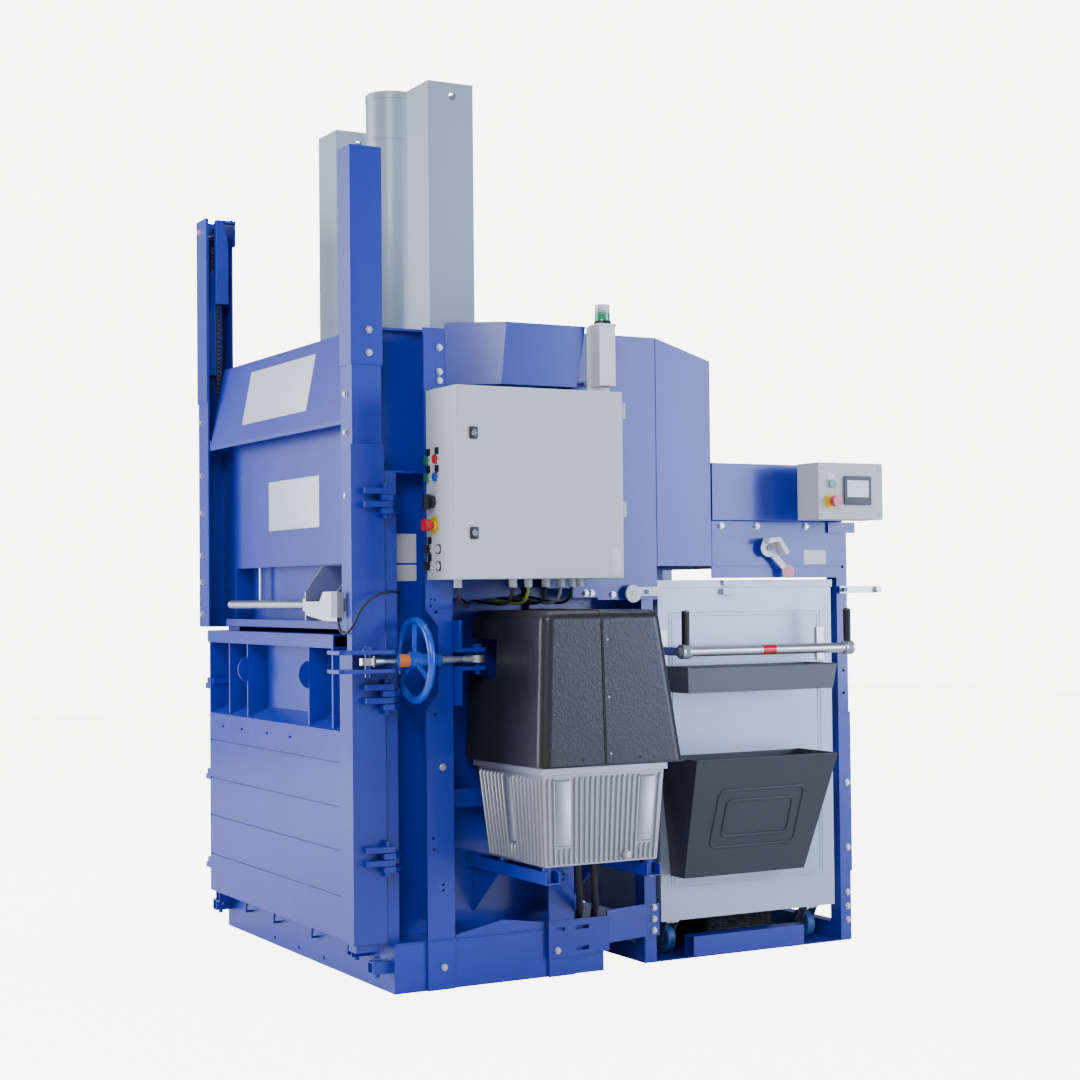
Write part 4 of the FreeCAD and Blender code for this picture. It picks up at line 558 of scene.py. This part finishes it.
def link_plate(half, thick, x):
    """A link plate: two round ends joined by a waist, width = w0 + (w1 - w0)*cos^2, between x and x+thick."""
    t = np.linspace(0, 2 * np.pi, 16, endpoint=False)
    y = 5.6 * np.sin(t) * (0.72 + 0.28 * np.abs(np.cos(t)))
    z = (half + 5.6) * np.cos(t)
    ring = np.stack([y, z], -1)
    pts = np.concatenate([np.column_stack([np.full(16, x), ring]), np.column_stack([np.full(16, x + thick), ring])])
    faces = grid_faces(2, 16, wrap_v=True) + [list(range(16)), list(range(31, 15, -1))]
    return pts, faces


def roller(r, half_width, n=10):
    """A short drum about X: two rings of n points."""
    t = np.linspace(0, 2 * np.pi, n, endpoint=False)
    ring = np.stack([r * np.cos(t), r * np.sin(t)], -1)
    pts = np.concatenate([np.column_stack([np.full(n, -half_width), ring]),
                          np.column_stack([np.full(n, half_width), ring])])
    return pts, grid_faces(2, n, wrap_v=True) + [list(range(n)), list(range(2 * n - 1, n - 1, -1))]


links = int(total / PITCH)
all_points, all_faces, start = [], [], 0
for k in range(links):
    y, z, a = on_chain((k + 0.5) * PITCH)
    gap = 5.0 if k % 2 else 7.0
    turn = np.array([[1, 0, 0], [0, math.cos(-a), -math.sin(-a)], [0, math.sin(-a), math.cos(-a)]])
    for pts, fcs in (link_plate(PITCH / 2, 1.6, -gap - 0.8), link_plate(PITCH / 2, 1.6, gap - 0.8)):
        moved = pts @ turn.T + [CHAIN_X, float(y), float(z)]
        all_points.append(moved)
        all_faces += [[i + start for i in f] for f in fcs]
        start += len(pts)
    y, z, a = on_chain(k * PITCH)
    for r, w in ((5.1, 4.4), (2.6, 8.2)):
        pts, fcs = roller(r, w)
        all_points.append(pts + [CHAIN_X, float(y), float(z)])
        all_faces += [[i + start for i in f] for f in fcs]
        start += len(pts)
chain = outward(new_piece("roller_chain", at(*np.concatenate(all_points)), all_faces, 50))
finish_piece(chain, chain_steel, "base")
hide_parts("lift_chain")
teeth = 16
ring = []
for k in range(teeth * 4):
    a = 2 * math.pi * k / (teeth * 4)
    r = 27.0 + (5.5 if k % 4 in (1, 2) else 0.0)
    ring.append((r * math.cos(a), r * math.sin(a)))
ring = np.array(ring)
n = len(ring)
pts = np.concatenate([np.column_stack([np.full(n, CHAIN_X + s * 3.2), ring + [(UP_Y + DOWN_Y) / 2, TOP_Z]])
                      for s in (-1, 1)])
sprocket = outward(new_piece("sprocket_teeth", at(*pts), grid_faces(2, n, wrap_v=True) + [list(range(n)),
                             list(range(2 * n - 1, n - 1, -1))], 30))
finish_piece(sprocket, chain_steel, "sprocket")
print("chain links", links)

# %% [markdown]
# ## Cast tank
#
# The hydraulic tank is an aluminium casting, tapered so that it leaves the mould, with cooling
# fins on every side and plain pads where plates are screwed on. A fin is a bar that follows the
# tapered wall, so it is worked out between the wall's upper and lower edges.

# %% Fins on the walls
TANK_TOP, TANK_FOOT = (312, 742, -404, 30), (322, 718, -396, -30)
Z_TOP, Z_FOOT = 694.0, 418.0


def wall_point(wall, u, v):
    """Point on a wall: share u along it, share v up it, by mixing its four corners."""
    x0, x1, y0, y1 = (np.array(TANK_FOOT) * (1 - v) + np.array(TANK_TOP) * v)
    z = Z_FOOT + (Z_TOP - Z_FOOT) * v
    if wall == "front":
        return np.array([x0 + (x1 - x0) * u, y0, z]), np.array([0, -1.0, 0]), np.array([1.0, 0, 0])
    if wall == "left":
        return np.array([x0, y1 + (y0 - y1) * u, z]), np.array([-1.0, 0, 0]), np.array([0, -1.0, 0])
    return np.array([x1, y0 + (y1 - y0) * u, z]), np.array([1.0, 0, 0]), np.array([0, 1.0, 0])


def fin(name, wall, u, v0, v1, width, proud):
    """A bar on the wall: rounded section (width, proud) between heights v0 and v1, tapered at both ends."""
    rings = []
    for v, k in ((v0, 0.0), (v0 + 0.012, 1.0), (v1 - 0.03, 1.0), (v1, 0.0)):
        p, out, along = wall_point(wall, u, v)
        w, h = width / 2, 0.2 + (proud - 0.2) * k
        section = [(-w, -2), (-w, h * 0.6), (-w * 0.6, h), (w * 0.6, h), (w, h * 0.6), (w, -2)]
        rings.append([p + along * a + out * b for a, b in section])
    m = len(rings[0])
    pts = np.concatenate(rings)
    faces = grid_faces(len(rings), m, wrap_v=True)
    faces += [list(range(m)), list(range((len(rings) - 1) * m, len(rings) * m))[::-1]]
    return new_piece(name, at(*pts), faces, 40)


bars = []
for wall, pads, fins in (("front", [(0.155, 0.11), (0.865, 0.11)], 22), ("left", [(0.47, 0.115)], 17),
                         ("right", [(0.5, 0.115)], 17)):
    for k in range(fins):
        u = 0.035 + 0.93 * k / (fins - 1)
        on_pad = [c for c, half in pads if abs(u - c) < half * 0.62]
        bars.append(fin("fin", wall, u, 0.01, 0.19 if on_pad else 0.97, 7.5, 7.0))
    for c, half in pads:
        bars.append(fin("pad", wall, c, 0.21, 0.95, 430 * half * 1.12 if wall == "front" else 400 * half * 1.12, 7.6))
fins_piece = outward(joined("tank_fins", bars))
finish_piece(fins_piece, alloy, "base")
plug = turned("drain_plug", [(6.0, 17.0), (9.5, 17.0), (11.5, 15.5), (11.5, 8.0), (13.5, 8.0), (13.5, 0.0)],
              (600, -404, 438), (0, -1, 0), 6 * 4)
finish_piece(plug, zinc, "base")
print("fins", len(bars))

# %% [markdown]
# ## Pump cover
#
# The black cover over the motor is drawn from one heated sheet. It has a raised joint strip
# down the middle with rivets, and its lower rim is turned out a few millimetres.

# %% Joint strip and rivets
def cover_front(z):
    """y of the cover's sloping front face at height z, in drawing millimetres."""
    return -416 + 20 * (z - 716) / (1193 - 716)


STRIP_X = 542.0
front = [(STRIP_X, cover_front(z), z) for z in np.linspace(720, 1150, 9)]
corner = [(STRIP_X, -362 - 34.5 * math.cos(q), 1158.5 + 34.5 * math.sin(q)) for q in np.linspace(0.12, 1.57, 7)]
top = [(STRIP_X, y, 1193.2) for y in (-300, -200, -100, 0, 76)]
strip_path = front + corner + top
strip = carried("cover_strip", strip_path,
                [(1.5, -14), (-0.8, -14), (-2.2, -12.6), (-2.2, 12.6), (-0.8, 14), (1.5, 14)],
                up=(1, 0, 0))
strip_path = np.array(strip_path)
pieces = [strip]
finish_piece(strip, pebbled, "base")
bead = carried("cover_bead", [(x - 17, y, z) for x, y, z in strip_path], circle(2.6, 8), up=(1, 0, 0))
finish_piece(bead, pebbled, "base")
for k, z in enumerate((752, 925, 1102)):
    dome = turned(f"cover_rivet_{k}", [(0.4, 2.4), (2.4, 1.9), (3.9, 0.8), (4.3, -1.0)],
                  (STRIP_X + 2, cover_front(z) - 2.4, z), (0, -1, 0), 16)
    finish_piece(dome, zinc, "base")
for k, (x, z) in enumerate(((446, 738), (652, 738))):
    dent = turned(f"cover_screw_{k}", [(0.5, 0.6), (3.6, 0.8), (5.0, 0.2), (5.2, -1.0)], (x, cover_front(z) - 0.4, z),
                  (0, -1, 0), 16)
    finish_piece(dent, rubber, "base")
lip = carried("cover_lip", [(302, 94, 718), (302, -200, 718), (302, -400, 718), (305, -411, 718), (315, -416, 718),
                            (500, -417, 718), (700, -417, 718), (803, -416, 718), (813, -411, 718), (816, -400, 718),
                            (816, -200, 718), (816, 94, 718)], rounded(7, 5, 2, 3))
finish_piece(lip, pebbled, "base")
print("cover strip points", len(strip_path))

# %% [markdown]
# ## Litter bin on the cart
#
# The bin is deep-drawn, and two rounded rectangles pressed into its front keep the wall stiff.
# Each is a half-round bead carried round a rounded outline on the sloping wall.

# %% Beads on the sloping front
def bin_front(u, v):
    """A point on the bin's front: u across in mm from its middle, v up in mm along the slope."""
    low, high = np.array([1289.0, -52.0, 285.0]), np.array([1289.0, -200.0, 690.0])
    slope = (high - low) / np.linalg.norm(high - low)
    return low + np.array([1.0, 0, 0]) * u[:, None] + slope * (v[:, None])


slope_out = np.array([0, -405.0, -148.0]) / math.hypot(405, 148)
for name, w, h, r, lift in (("bin_bead_outer", 345.0, 210.0, 22.0, 1.2), ("bin_bead_inner", 268.0, 132.0, 18.0, 1.2)):
    outline = rounded(w, h, r, 6)
    path = bin_front(outline[:, 0] + 2, outline[:, 1] + 213) + slope_out * lift
    bead = carried(name, path, rounded(10, 6, 2.6, 4), closed=True, up=tuple(slope_out))
    finish_piece(bead, slate_plastic, "cart")
path = [(1003, 30, 690), (1003, -190, 690), (1012, -198.5, 690), (1566, -198.5, 690), (1575, -190, 690),
        (1575, 30, 690)]
finish_piece(carried("bin_rim", path, rounded(7, 5, 2.2, 4)), slate_plastic, "cart")
path = [(1004, 30, 994), (1004, -141, 994), (1012, -148.5, 994), (1606, -148.5, 994), (1614, -141, 994),
        (1614, 30, 994)]
finish_piece(carried("tray_rim", path, rounded(6, 4, 1.9, 4)), slate_plastic, "cart")
print("beads on bin and tray")

# %% [markdown]
# ## Push bar
#
# The bar is bright tube with a red band at its middle. Black grips stand at both ends, and pale
# caps close the tube.

# %% Grips, caps and band
for k, x in enumerate((1014.0, 1684.0)):
    profile = [(4.0, 118.0), (10.5, 117.0), (13.6, 112.0)]
    for z in np.linspace(106, 8, 12):
        profile += [(13.9, z + 2.6), (13.1, z)]
    profile += [(14.2, 2.0), (10.0, 0.0)]
    grip = turned(f"bar_grip_{k}", profile, (x, -120, 1067), (0, 0, 1), 24)
    finish_piece(grip, black_plastic, "cart")
for k, (x, way) in enumerate(((1002.0, -1), (1691.0, 1))):
    cap = turned(f"bar_cap_{k}", [(3.0, 15.5), (16.0, 14.0), (22.0, 9.5), (24.6, 3.0), (24.6, -14.0), (19.0, -17.0)],
                 (x - way * 3.5, -120, 1047), (way, 0, 0), 36)
    finish_piece(cap, grey_plastic, "cart")
band = turned("bar_band", [(16.0, 27.0), (17.35, 26.8), (17.35, -26.8), (16.0, -27.0)],
              (1346, -120, 1047), (1, 0, 0), 40)
finish_piece(band, red, "cart")

# %% Band on the turnbuckle sleeve
band = turned("sleeve_band", [(19.0, 18.0), (20.5, 17.8), (20.5, -17.8), (19.0, -18.0)], (24, -26, 1040), (1, 0, 0), 40)
finish_piece(band, orange, "handwheel")

# %% [markdown]
# ## Signal lamp
#
# A green ribbed lens sits on a black socket over a square white post.

# %% Lens
ribs = [(4.0, 58.5), (18.0, 57.0), (21.4, 53.0)]
for h in np.linspace(48, 6, 9):
    ribs += [(22.3 + (50 - h) * 0.04, h + 2.2), (21.6 + (50 - h) * 0.04, h)]
ribs += [(25.0, 2.0), (25.0, -1.0)]
lens = turned("lamp_lens", [(r + 1.4, h) for r, h in ribs], (697, -134, 2126), (0, 0, 1), 36)
lamp_green = finish("lamp_green", (0.008, 0.33, 0.13), (0.006, 0.22, 0.09), rough=0.16, coat=0.8, grain_depth=0.0,
                    dust=0.0)
finish_piece(lens, lamp_green, "base")
socket = turned("lamp_socket", [(20.0, 11.0), (27.0, 11.0), (28.2, 9.0), (28.2, 1.0), (26.0, 0.3)], (697, -134, 2117.5),
                (0, 0, 1), 36)
finish_piece(socket, black_plastic, "base")

# %% [markdown]
# ## Cabinet
#
# On the cabinet's side, each push button sits in a chrome ring under a blank black legend plate,
# and the emergency stop stands on a yellow disc. Quarter-turn locks have a bright insert.

# %% Rings, legend plates and discs
chrome = finish("bright_chrome", (0.72, 0.73, 0.74), (0.60, 0.61, 0.63), rough=0.14, metal=1.0, grain_depth=0.03,
                dust=0.02, width=0.0006)
BUTTONS = ["push_green_1", "push_red", "push_green_2", "push_blue", "selector_1", "selector_2"]
for name in BUTTONS:
    lo, hi = (np.array(c) * 1000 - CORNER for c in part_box(name))
    y, z = (lo[1] + hi[1]) / 2, (lo[2] + hi[2]) / 2
    ring = turned(f"{name}_ring", [(10.9, 0.0), (15.2, 0.0), (15.2, 2.0), (14.0, 4.6), (11.4, 5.0), (10.9, 3.2)],
                  (115.8, y, z), (-1, 0, 0), 32)
    finish_piece(ring, chrome, "base")
    plate = pressed(f"{name}_legend", (115.9, y, z + 26.5), (-1, 0, 0), (0, 0, 1), (28, 22), 1.8, 3.0, 0.8)
    finish_piece(plate, black_plastic, "base")
STOPS = [("estop_left", (-1, 0, 0), (115.8, -73, 1463)), ("estop_right", (0, -1, 0), (1562, -200.2, 1552))]
DISC = [(11.0, 0.0), (29.6, 0.0), (30.0, 0.6), (29.2, 1.8), (14.5, 2.2), (13.5, 6.5), (11.0, 6.8)]
for name, axis, place in STOPS:
    disc = turned(f"{name}_disc", DISC, place, axis, 48)
    finish_piece(disc, yellow, "base")
plate = pressed("start_legend", (1562, -200.1, 1636), (0, -1, 0), (0, 0, 1), (27, 19), 1.8, 3.0, 0.8)
finish_piece(plate, white_paint, "base")
ring = turned("start_ring", [(10.9, 0.0), (15.2, 0.0), (15.2, 2.0), (14.0, 4.6), (11.4, 5.0), (10.9, 3.2)],
              (1562, -200.1, 1612), (0, -1, 0), 32)
finish_piece(ring, chrome, "base")
for name, body, z in (("lock_low", "lock_lower", 1434.0), ("lock_high", "lock_upper", 1743.0)):
    lo, hi = (np.array(c) * 1000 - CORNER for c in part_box("cabinet_lock_1" if z < 1500 else "cabinet_lock_2"))
    face = pressed(f"{name}_escutcheon", (174, lo[1] + 0.2, z), (0, -1, 0), (0, 0, 1), (29, 38), 3.2, 5.0, 1.2)
    finish_piece(face, black_plastic, body)
    insert = turned(f"{name}_insert", [(3.4, 1.2), (3.6, 3.4), (8.4, 3.4), (9.2, 2.6), (9.2, 0.0)],
                    (174, lo[1] - 2.6, z), (0, -1, 0), 28)
    finish_piece(insert, chrome, body)

# %% Operator screen and blank plates
bezel = pressed("screen_bezel", (1671, -204.8, 1590), (0, -1, 0), (0, 0, 1), (117, 99), 4.5, 5.0, 1.5, dish=0.0)
finish_piece(bezel, slate_plastic, "base")
glass = pressed("screen_face", (1671, -209.0, 1596), (0, -1, 0), (0, 0, 1), (92, 58), 0.9, 2.0, 0.4)
pale_screen = finish("pale_screen", (0.55, 0.57, 0.57), (0.50, 0.53, 0.54), rough=0.10, coat=0.9, grain_depth=0.0,
                     vary=0.5, dust=0.0)
finish_piece(glass, pale_screen, "base")
label_white = finish("label_film", (0.66, 0.68, 0.69), (0.60, 0.62, 0.64), rough=0.30, grain_depth=0.05, dust=0.04,
                     width=0.0004)
PLATES = [("feed_door_sheet", "lift_door", (-22.3, 770, 1564), (-1, 0, 0), (469, 174)),
          ("cabinet_door_tag", "cabinet_door", (682, -228.3, 1344), (0, -1, 0), (37, 92)),
          ("wall_plate_upper", "base", (96, 129.7, 1395), (0, -1, 0), (100, 94)),
          ("wall_plate_lower", "base", (96, 129.7, 1316), (0, -1, 0), (100, 52)),
          ("loader_plate", "base", (1636, -3.3, 1364), (0, -1, 0), (97, 50))]
for name, body, place, axis, size in PLATES:
    plate = pressed(name, place, axis, (0, 0, 1), size, 0.7, 3.0, 0.3)
    finish_piece(plate, label_white, body)
lean = math.atan2(56, 291)
sign = pressed("header_plate", (-74.8, 777, 1957), (-math.cos(lean), 0, math.sin(lean)),
               (math.sin(lean), 0, math.cos(lean)), (609, 195), 0.9, 3.0, 0.3)
finish_piece(sign, label_white, "base")
for k, z in enumerate((1387, 1334)):
    blank = pressed(f"cabinet_blank_{k + 1}", (115.9, -100, z), (-1, 0, 0), (0, 0, 1), (30, 30), 3.0, 6.0, 1.2)
    finish_piece(blank, black_plastic, "base")
print("blank plates", len(PLATES) + 3)

# %% Octagon on the stop lever
STOP = np.array([1419.0, -33.2, 1395.0]) + 116 * np.array([math.cos(math.radians(-45)), 0, math.sin(math.radians(-45))])
t = np.radians(22.5 + 45 * np.arange(8))
rings = [np.column_stack([STOP[0] + r * np.cos(t), np.full(8, STOP[1] - d), STOP[2] + r * np.sin(t)])
         for r, d in ((20.5, 0.0), (20.5, 0.9), (20.0, 1.3))]
octagon = outward(new_piece("stop_octagon", at(*np.concatenate(rings)), grid_faces(3, 8, wrap_v=True)
                            + [list(range(8)), list(range(16, 24))[::-1]], 20))
finish_piece(octagon, red, "stop_lever")

# %% [markdown]
# ## Cables and hoses
#
# Six control cables leave the glands under the cabinet and go into the chamber wall, a thin one
# crosses from the door switch, and two hydraulic hoses drop from the tank into the base. Each is
# one smooth line through a few points, thick and stiff enough to sweep in a single bend.

# %% Smooth tubes
def tube(name, points, radius, material, exit_point, nodes=()):
    """A round cord of one NURBS spline whose control points are the route's points."""
    curve = bpy.data.curves.new(name, "CURVE")
    curve.dimensions = "3D"
    curve.bevel_depth, curve.bevel_resolution, curve.resolution_u = radius / 1000.0, 4, 12
    curve.use_fill_caps = True
    spline = curve.splines.new("NURBS")
    spline.points.add(len(points) - 1)
    where = at(*points)
    spline.points.foreach_set("co", np.column_stack([where, np.ones(len(where))]).ravel())
    spline.order_u, spline.use_endpoint_u = 3, True
    obj = bpy.data.objects.new(name, curve)
    bpy.context.scene.collection.objects.link(obj)
    curve.materials.append(material)
    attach(obj, "base")
    if nodes:
        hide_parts(*nodes)
    return obj


CABLES = [
    ("gland_cable_1", 5, 363, "medium",
     [(156.0, -150.0, 1269.0), (158.0, -146.0, 1232), (188, -122, 1212), (230, -70, 1206),
      (268, -6, 1210), (290, 62, 1220), (300, 133.0, 1232)]),
    ("gland_cable_2", 5, 316, "medium",
     [(350.0, -150.0, 1269.0), (350.1, -144.0, 1230), (351.4, -90.0, 1211), (353.7, 10.0, 1214),
      (356, 133.0, 1224)]),
    ("gland_cable_3", 5, 316, "medium",
     [(405.0, -150.0, 1269.0), (405.1, -144.0, 1230), (405.7, -90.0, 1211), (406.9, 10.0, 1217),
      (408, 133.0, 1228)]),
    ("gland_cable_4", 5, 317, "medium",
     [(468.0, -150.0, 1269.0), (467.8, -144.0, 1230), (465.1, -90.0, 1211), (460.6, 10.0, 1220),
      (456, 133.0, 1232)]),
    ("gland_cable_5", 5, 318, "medium",
     [(523.0, -150.0, 1269.0), (522.5, -144.0, 1230), (516.5, -90.0, 1211), (506.3, 10.0, 1223),
      (496, 133.0, 1236)]),
    ("gland_cable_6", 5, 319, "medium",
     [(563.0, -150.0, 1269.0), (562.3, -144.0, 1230), (554.6, -90.0, 1211), (541.3, 10.0, 1226),
      (528, 133.0, 1240)]),
    ("door_switch_cable", 4, 476, "medium",
     [(-139, 104, 1176), (-139, 104, 1148), (-138, 60, 1118), (-130, 9, 1146), (-108, -14, 1212),
      (-56, -10, 1248), (4, 6, 1257), (47, 42, 1256), (66, 88, 1253), (74, 133.0, 1250)]),
    ("hydraulic_hose_1", 11.8, 358, "stiff",
     [(575, -150, 420), (580, -144, 366), (603, -108, 296), (643, -44, 232), (669, 10, 190), (681, 40, 150)]),
    ("hydraulic_hose_2", 11.8, 358, "stiff",
     [(632, -150, 420), (637, -144, 366), (660, -108, 296), (700, -44, 232), (726, 10, 190), (738, 40, 150)]),
]
for name, radius, length, stiffness, points in CABLES:
    group_node = "hoses" if name.startswith("hydraulic") else "cables"
    jacket = {"gland_cable_3": earth_jacket, "gland_cable_5": grey_plastic}.get(name, rubber)
    tube(name, points, radius, jacket, None, (group_node,))
print("cables", len(CABLES))

# %% [markdown]
# ## Weld seams
#
# A welded frame shows its beads. A bead is a thick line whose radius swells every few
# millimetres, carried along the joint.

# %% Beads: radius = r * (1 + 0.18 * sin(2*pi*s/pitch)), a half buried in the joint
def weld(name, start, end, r=3.2, pitch=6.5, body="base"):
    """A weld bead from start to end (drawing mm), rippled along its length."""
    a, b = np.array(start, float), np.array(end, float)
    length = np.linalg.norm(b - a)
    s = np.linspace(0, length, max(int(length / pitch * 4), 4))
    axis, side, top = frame_of(b - a)
    t = np.linspace(0, 2 * np.pi, 8, endpoint=False)
    radius = r * (1 + 0.18 * np.sin(2 * np.pi * s / pitch)) * np.clip(np.minimum(s, length - s) / 4 + 0.35, 0, 1)
    ring = np.cos(t)[:, None] * side + np.sin(t)[:, None] * top
    pts = a + s[:, None, None] * axis + radius[:, None, None] * ring
    faces = grid_faces(len(s), 8, wrap_v=True)
    faces += [list(range(8)), list(range((len(s) - 1) * 8, len(s) * 8))[::-1]]
    return new_piece(name, at(*pts.reshape(-1, 3)), faces, 60)


WELDS = [((111, -10, 157), (206, -10, 157)),
         ((545, -10, 157), (640, -10, 157)),
         ((0, 0, 155), (108, 0, 155)),
         ((208, 0, 155), (540, 0, 155))]
seams = outward(joined("weld_seams", [weld("seam", a, b) for a, b in WELDS]))
finish_piece(seams, blue, "base")
print("weld seams", len(WELDS))


# %% [markdown]
# ## Floor, light and camera
#
# The machine stands on a pale floor in soft light: one large panel high on the near left, a
# weaker one from the right, and an even sky that keeps the shadows open.

# %% Floor
stage_half = 14.0
xs = np.linspace(-stage_half, stage_half, 5)
gx, gy = np.meshgrid(xs, xs, indexing="ij")
floor = new_piece("floor", np.stack([gx, gy, np.full_like(gx, -0.0005)], -1).reshape(-1, 3), grid_faces(5, 5))
floor.data.materials.append(finish("pale_floor", (0.83, 0.83, 0.83), (0.80, 0.80, 0.80), rough=0.55, grain_depth=0.05,
                                   dust=0.0))
seen, seen_in, seen_out = group("seen_by_camera", [("Strength", "Float", 6.6)], [("Value", "Float")])
ray, product = node(seen, "LightPath"), node(seen, "Math", operation="MULTIPLY")
seen.links.new(ray.outputs["Is Camera Ray"], product.inputs[0])
seen.links.new(seen_in.outputs["Strength"], product.inputs[1])
seen.links.new(product.outputs["Value"], seen_out.inputs["Value"])
floor_tree = floor.data.materials[0].node_tree
glow, coat = node(floor_tree, "Group", node_tree=seen), floor_tree.nodes["Principled BSDF"]
coat.inputs["Emission Color"].default_value = (1.0, 0.995, 0.93, 1)
floor_tree.links.new(glow.outputs["Value"], coat.inputs["Emission Strength"])


# %% Soft light
def panel_light(name, place, aim, size, watts, tint=(0.86, 0.92, 1.0)):
    """An area light at `place` whose -Z axis points at `aim`."""
    data = bpy.data.lights.new(name, "AREA")
    data.shape, data.size, data.size_y, data.energy = "RECTANGLE", size[0], size[1], watts
    data.color = tint
    lamp = bpy.data.objects.new(name, data)
    bpy.context.scene.collection.objects.link(lamp)
    from mathutils import Vector
    lamp.location = place
    lamp.rotation_euler = (Vector(aim) - Vector(place)).to_track_quat("-Z", "Y").to_euler()
    return lamp


panel_light("key_panel", (-4.6, -6.8, 5.2), (0.2, 0, 1.3), (3.2, 3.2), 400)
panel_light("left_sheen_panel", (-6.4, 4.6, 2.4), (-0.4, 0, 1.3), (5.5, 4.6), 900, (0.82, 0.86, 1.0))
panel_light("right_sheen_panel", (7.4, -8.0, 2.7), (0.6, -0.5, 1.4), (5.2, 4.5), 800, (0.60, 0.71, 1.0))
panel_light("top_panel", (0.6, 0.2, 6.6), (0.4, 0, 0.0), (5.0, 5.0), 300)
world = bpy.data.worlds.new("studio")
world.use_nodes = True
tree = world.node_tree
tree.nodes["Background"].inputs["Color"].default_value = (0.84, 0.91, 1.0, 1)
tree.nodes["Background"].inputs["Strength"].default_value = 0.24
behind = tree.nodes.new("ShaderNodeBackground")
behind.inputs["Color"].default_value = (1.0, 0.995, 0.94, 1)
behind.inputs["Strength"].default_value = 7.5
path = tree.nodes.new("ShaderNodeLightPath")
choose = tree.nodes.new("ShaderNodeMixShader")
tree.links.new(path.outputs["Is Camera Ray"], choose.inputs[0])
tree.links.new(tree.nodes["Background"].outputs[0], choose.inputs[1])
tree.links.new(behind.outputs[0], choose.inputs[2])
tree.links.new(choose.outputs[0], tree.nodes["World Output"].inputs["Surface"])
bpy.context.scene.world = world

# %% Camera
from mathutils import Matrix, Vector

yaw, pitch, roll = (math.radians(a) for a in (28.788, 1.524, -0.557))
look = np.array([math.sin(yaw) * math.cos(pitch), math.cos(yaw) * math.cos(pitch), math.sin(pitch)])
level = np.array([math.cos(yaw), -math.sin(yaw), 0.0])
over = np.cross(level, look)
right = math.cos(roll) * level + math.sin(roll) * over
up = -math.sin(roll) * level + math.cos(roll) * over
camera_data = bpy.data.cameras.new("camera")
camera_data.lens, camera_data.sensor_width = 65.3, 36.0
camera = bpy.data.objects.new("camera", camera_data)
bpy.context.scene.collection.objects.link(camera)
camera.matrix_world = Matrix([[right[0], up[0], -look[0], -2.90476], [right[1], up[1], -look[1], -6.36010],
                              [right[2], up[2], -look[2], 1.25], [0, 0, 0, 1]])
bpy.context.scene.camera = camera
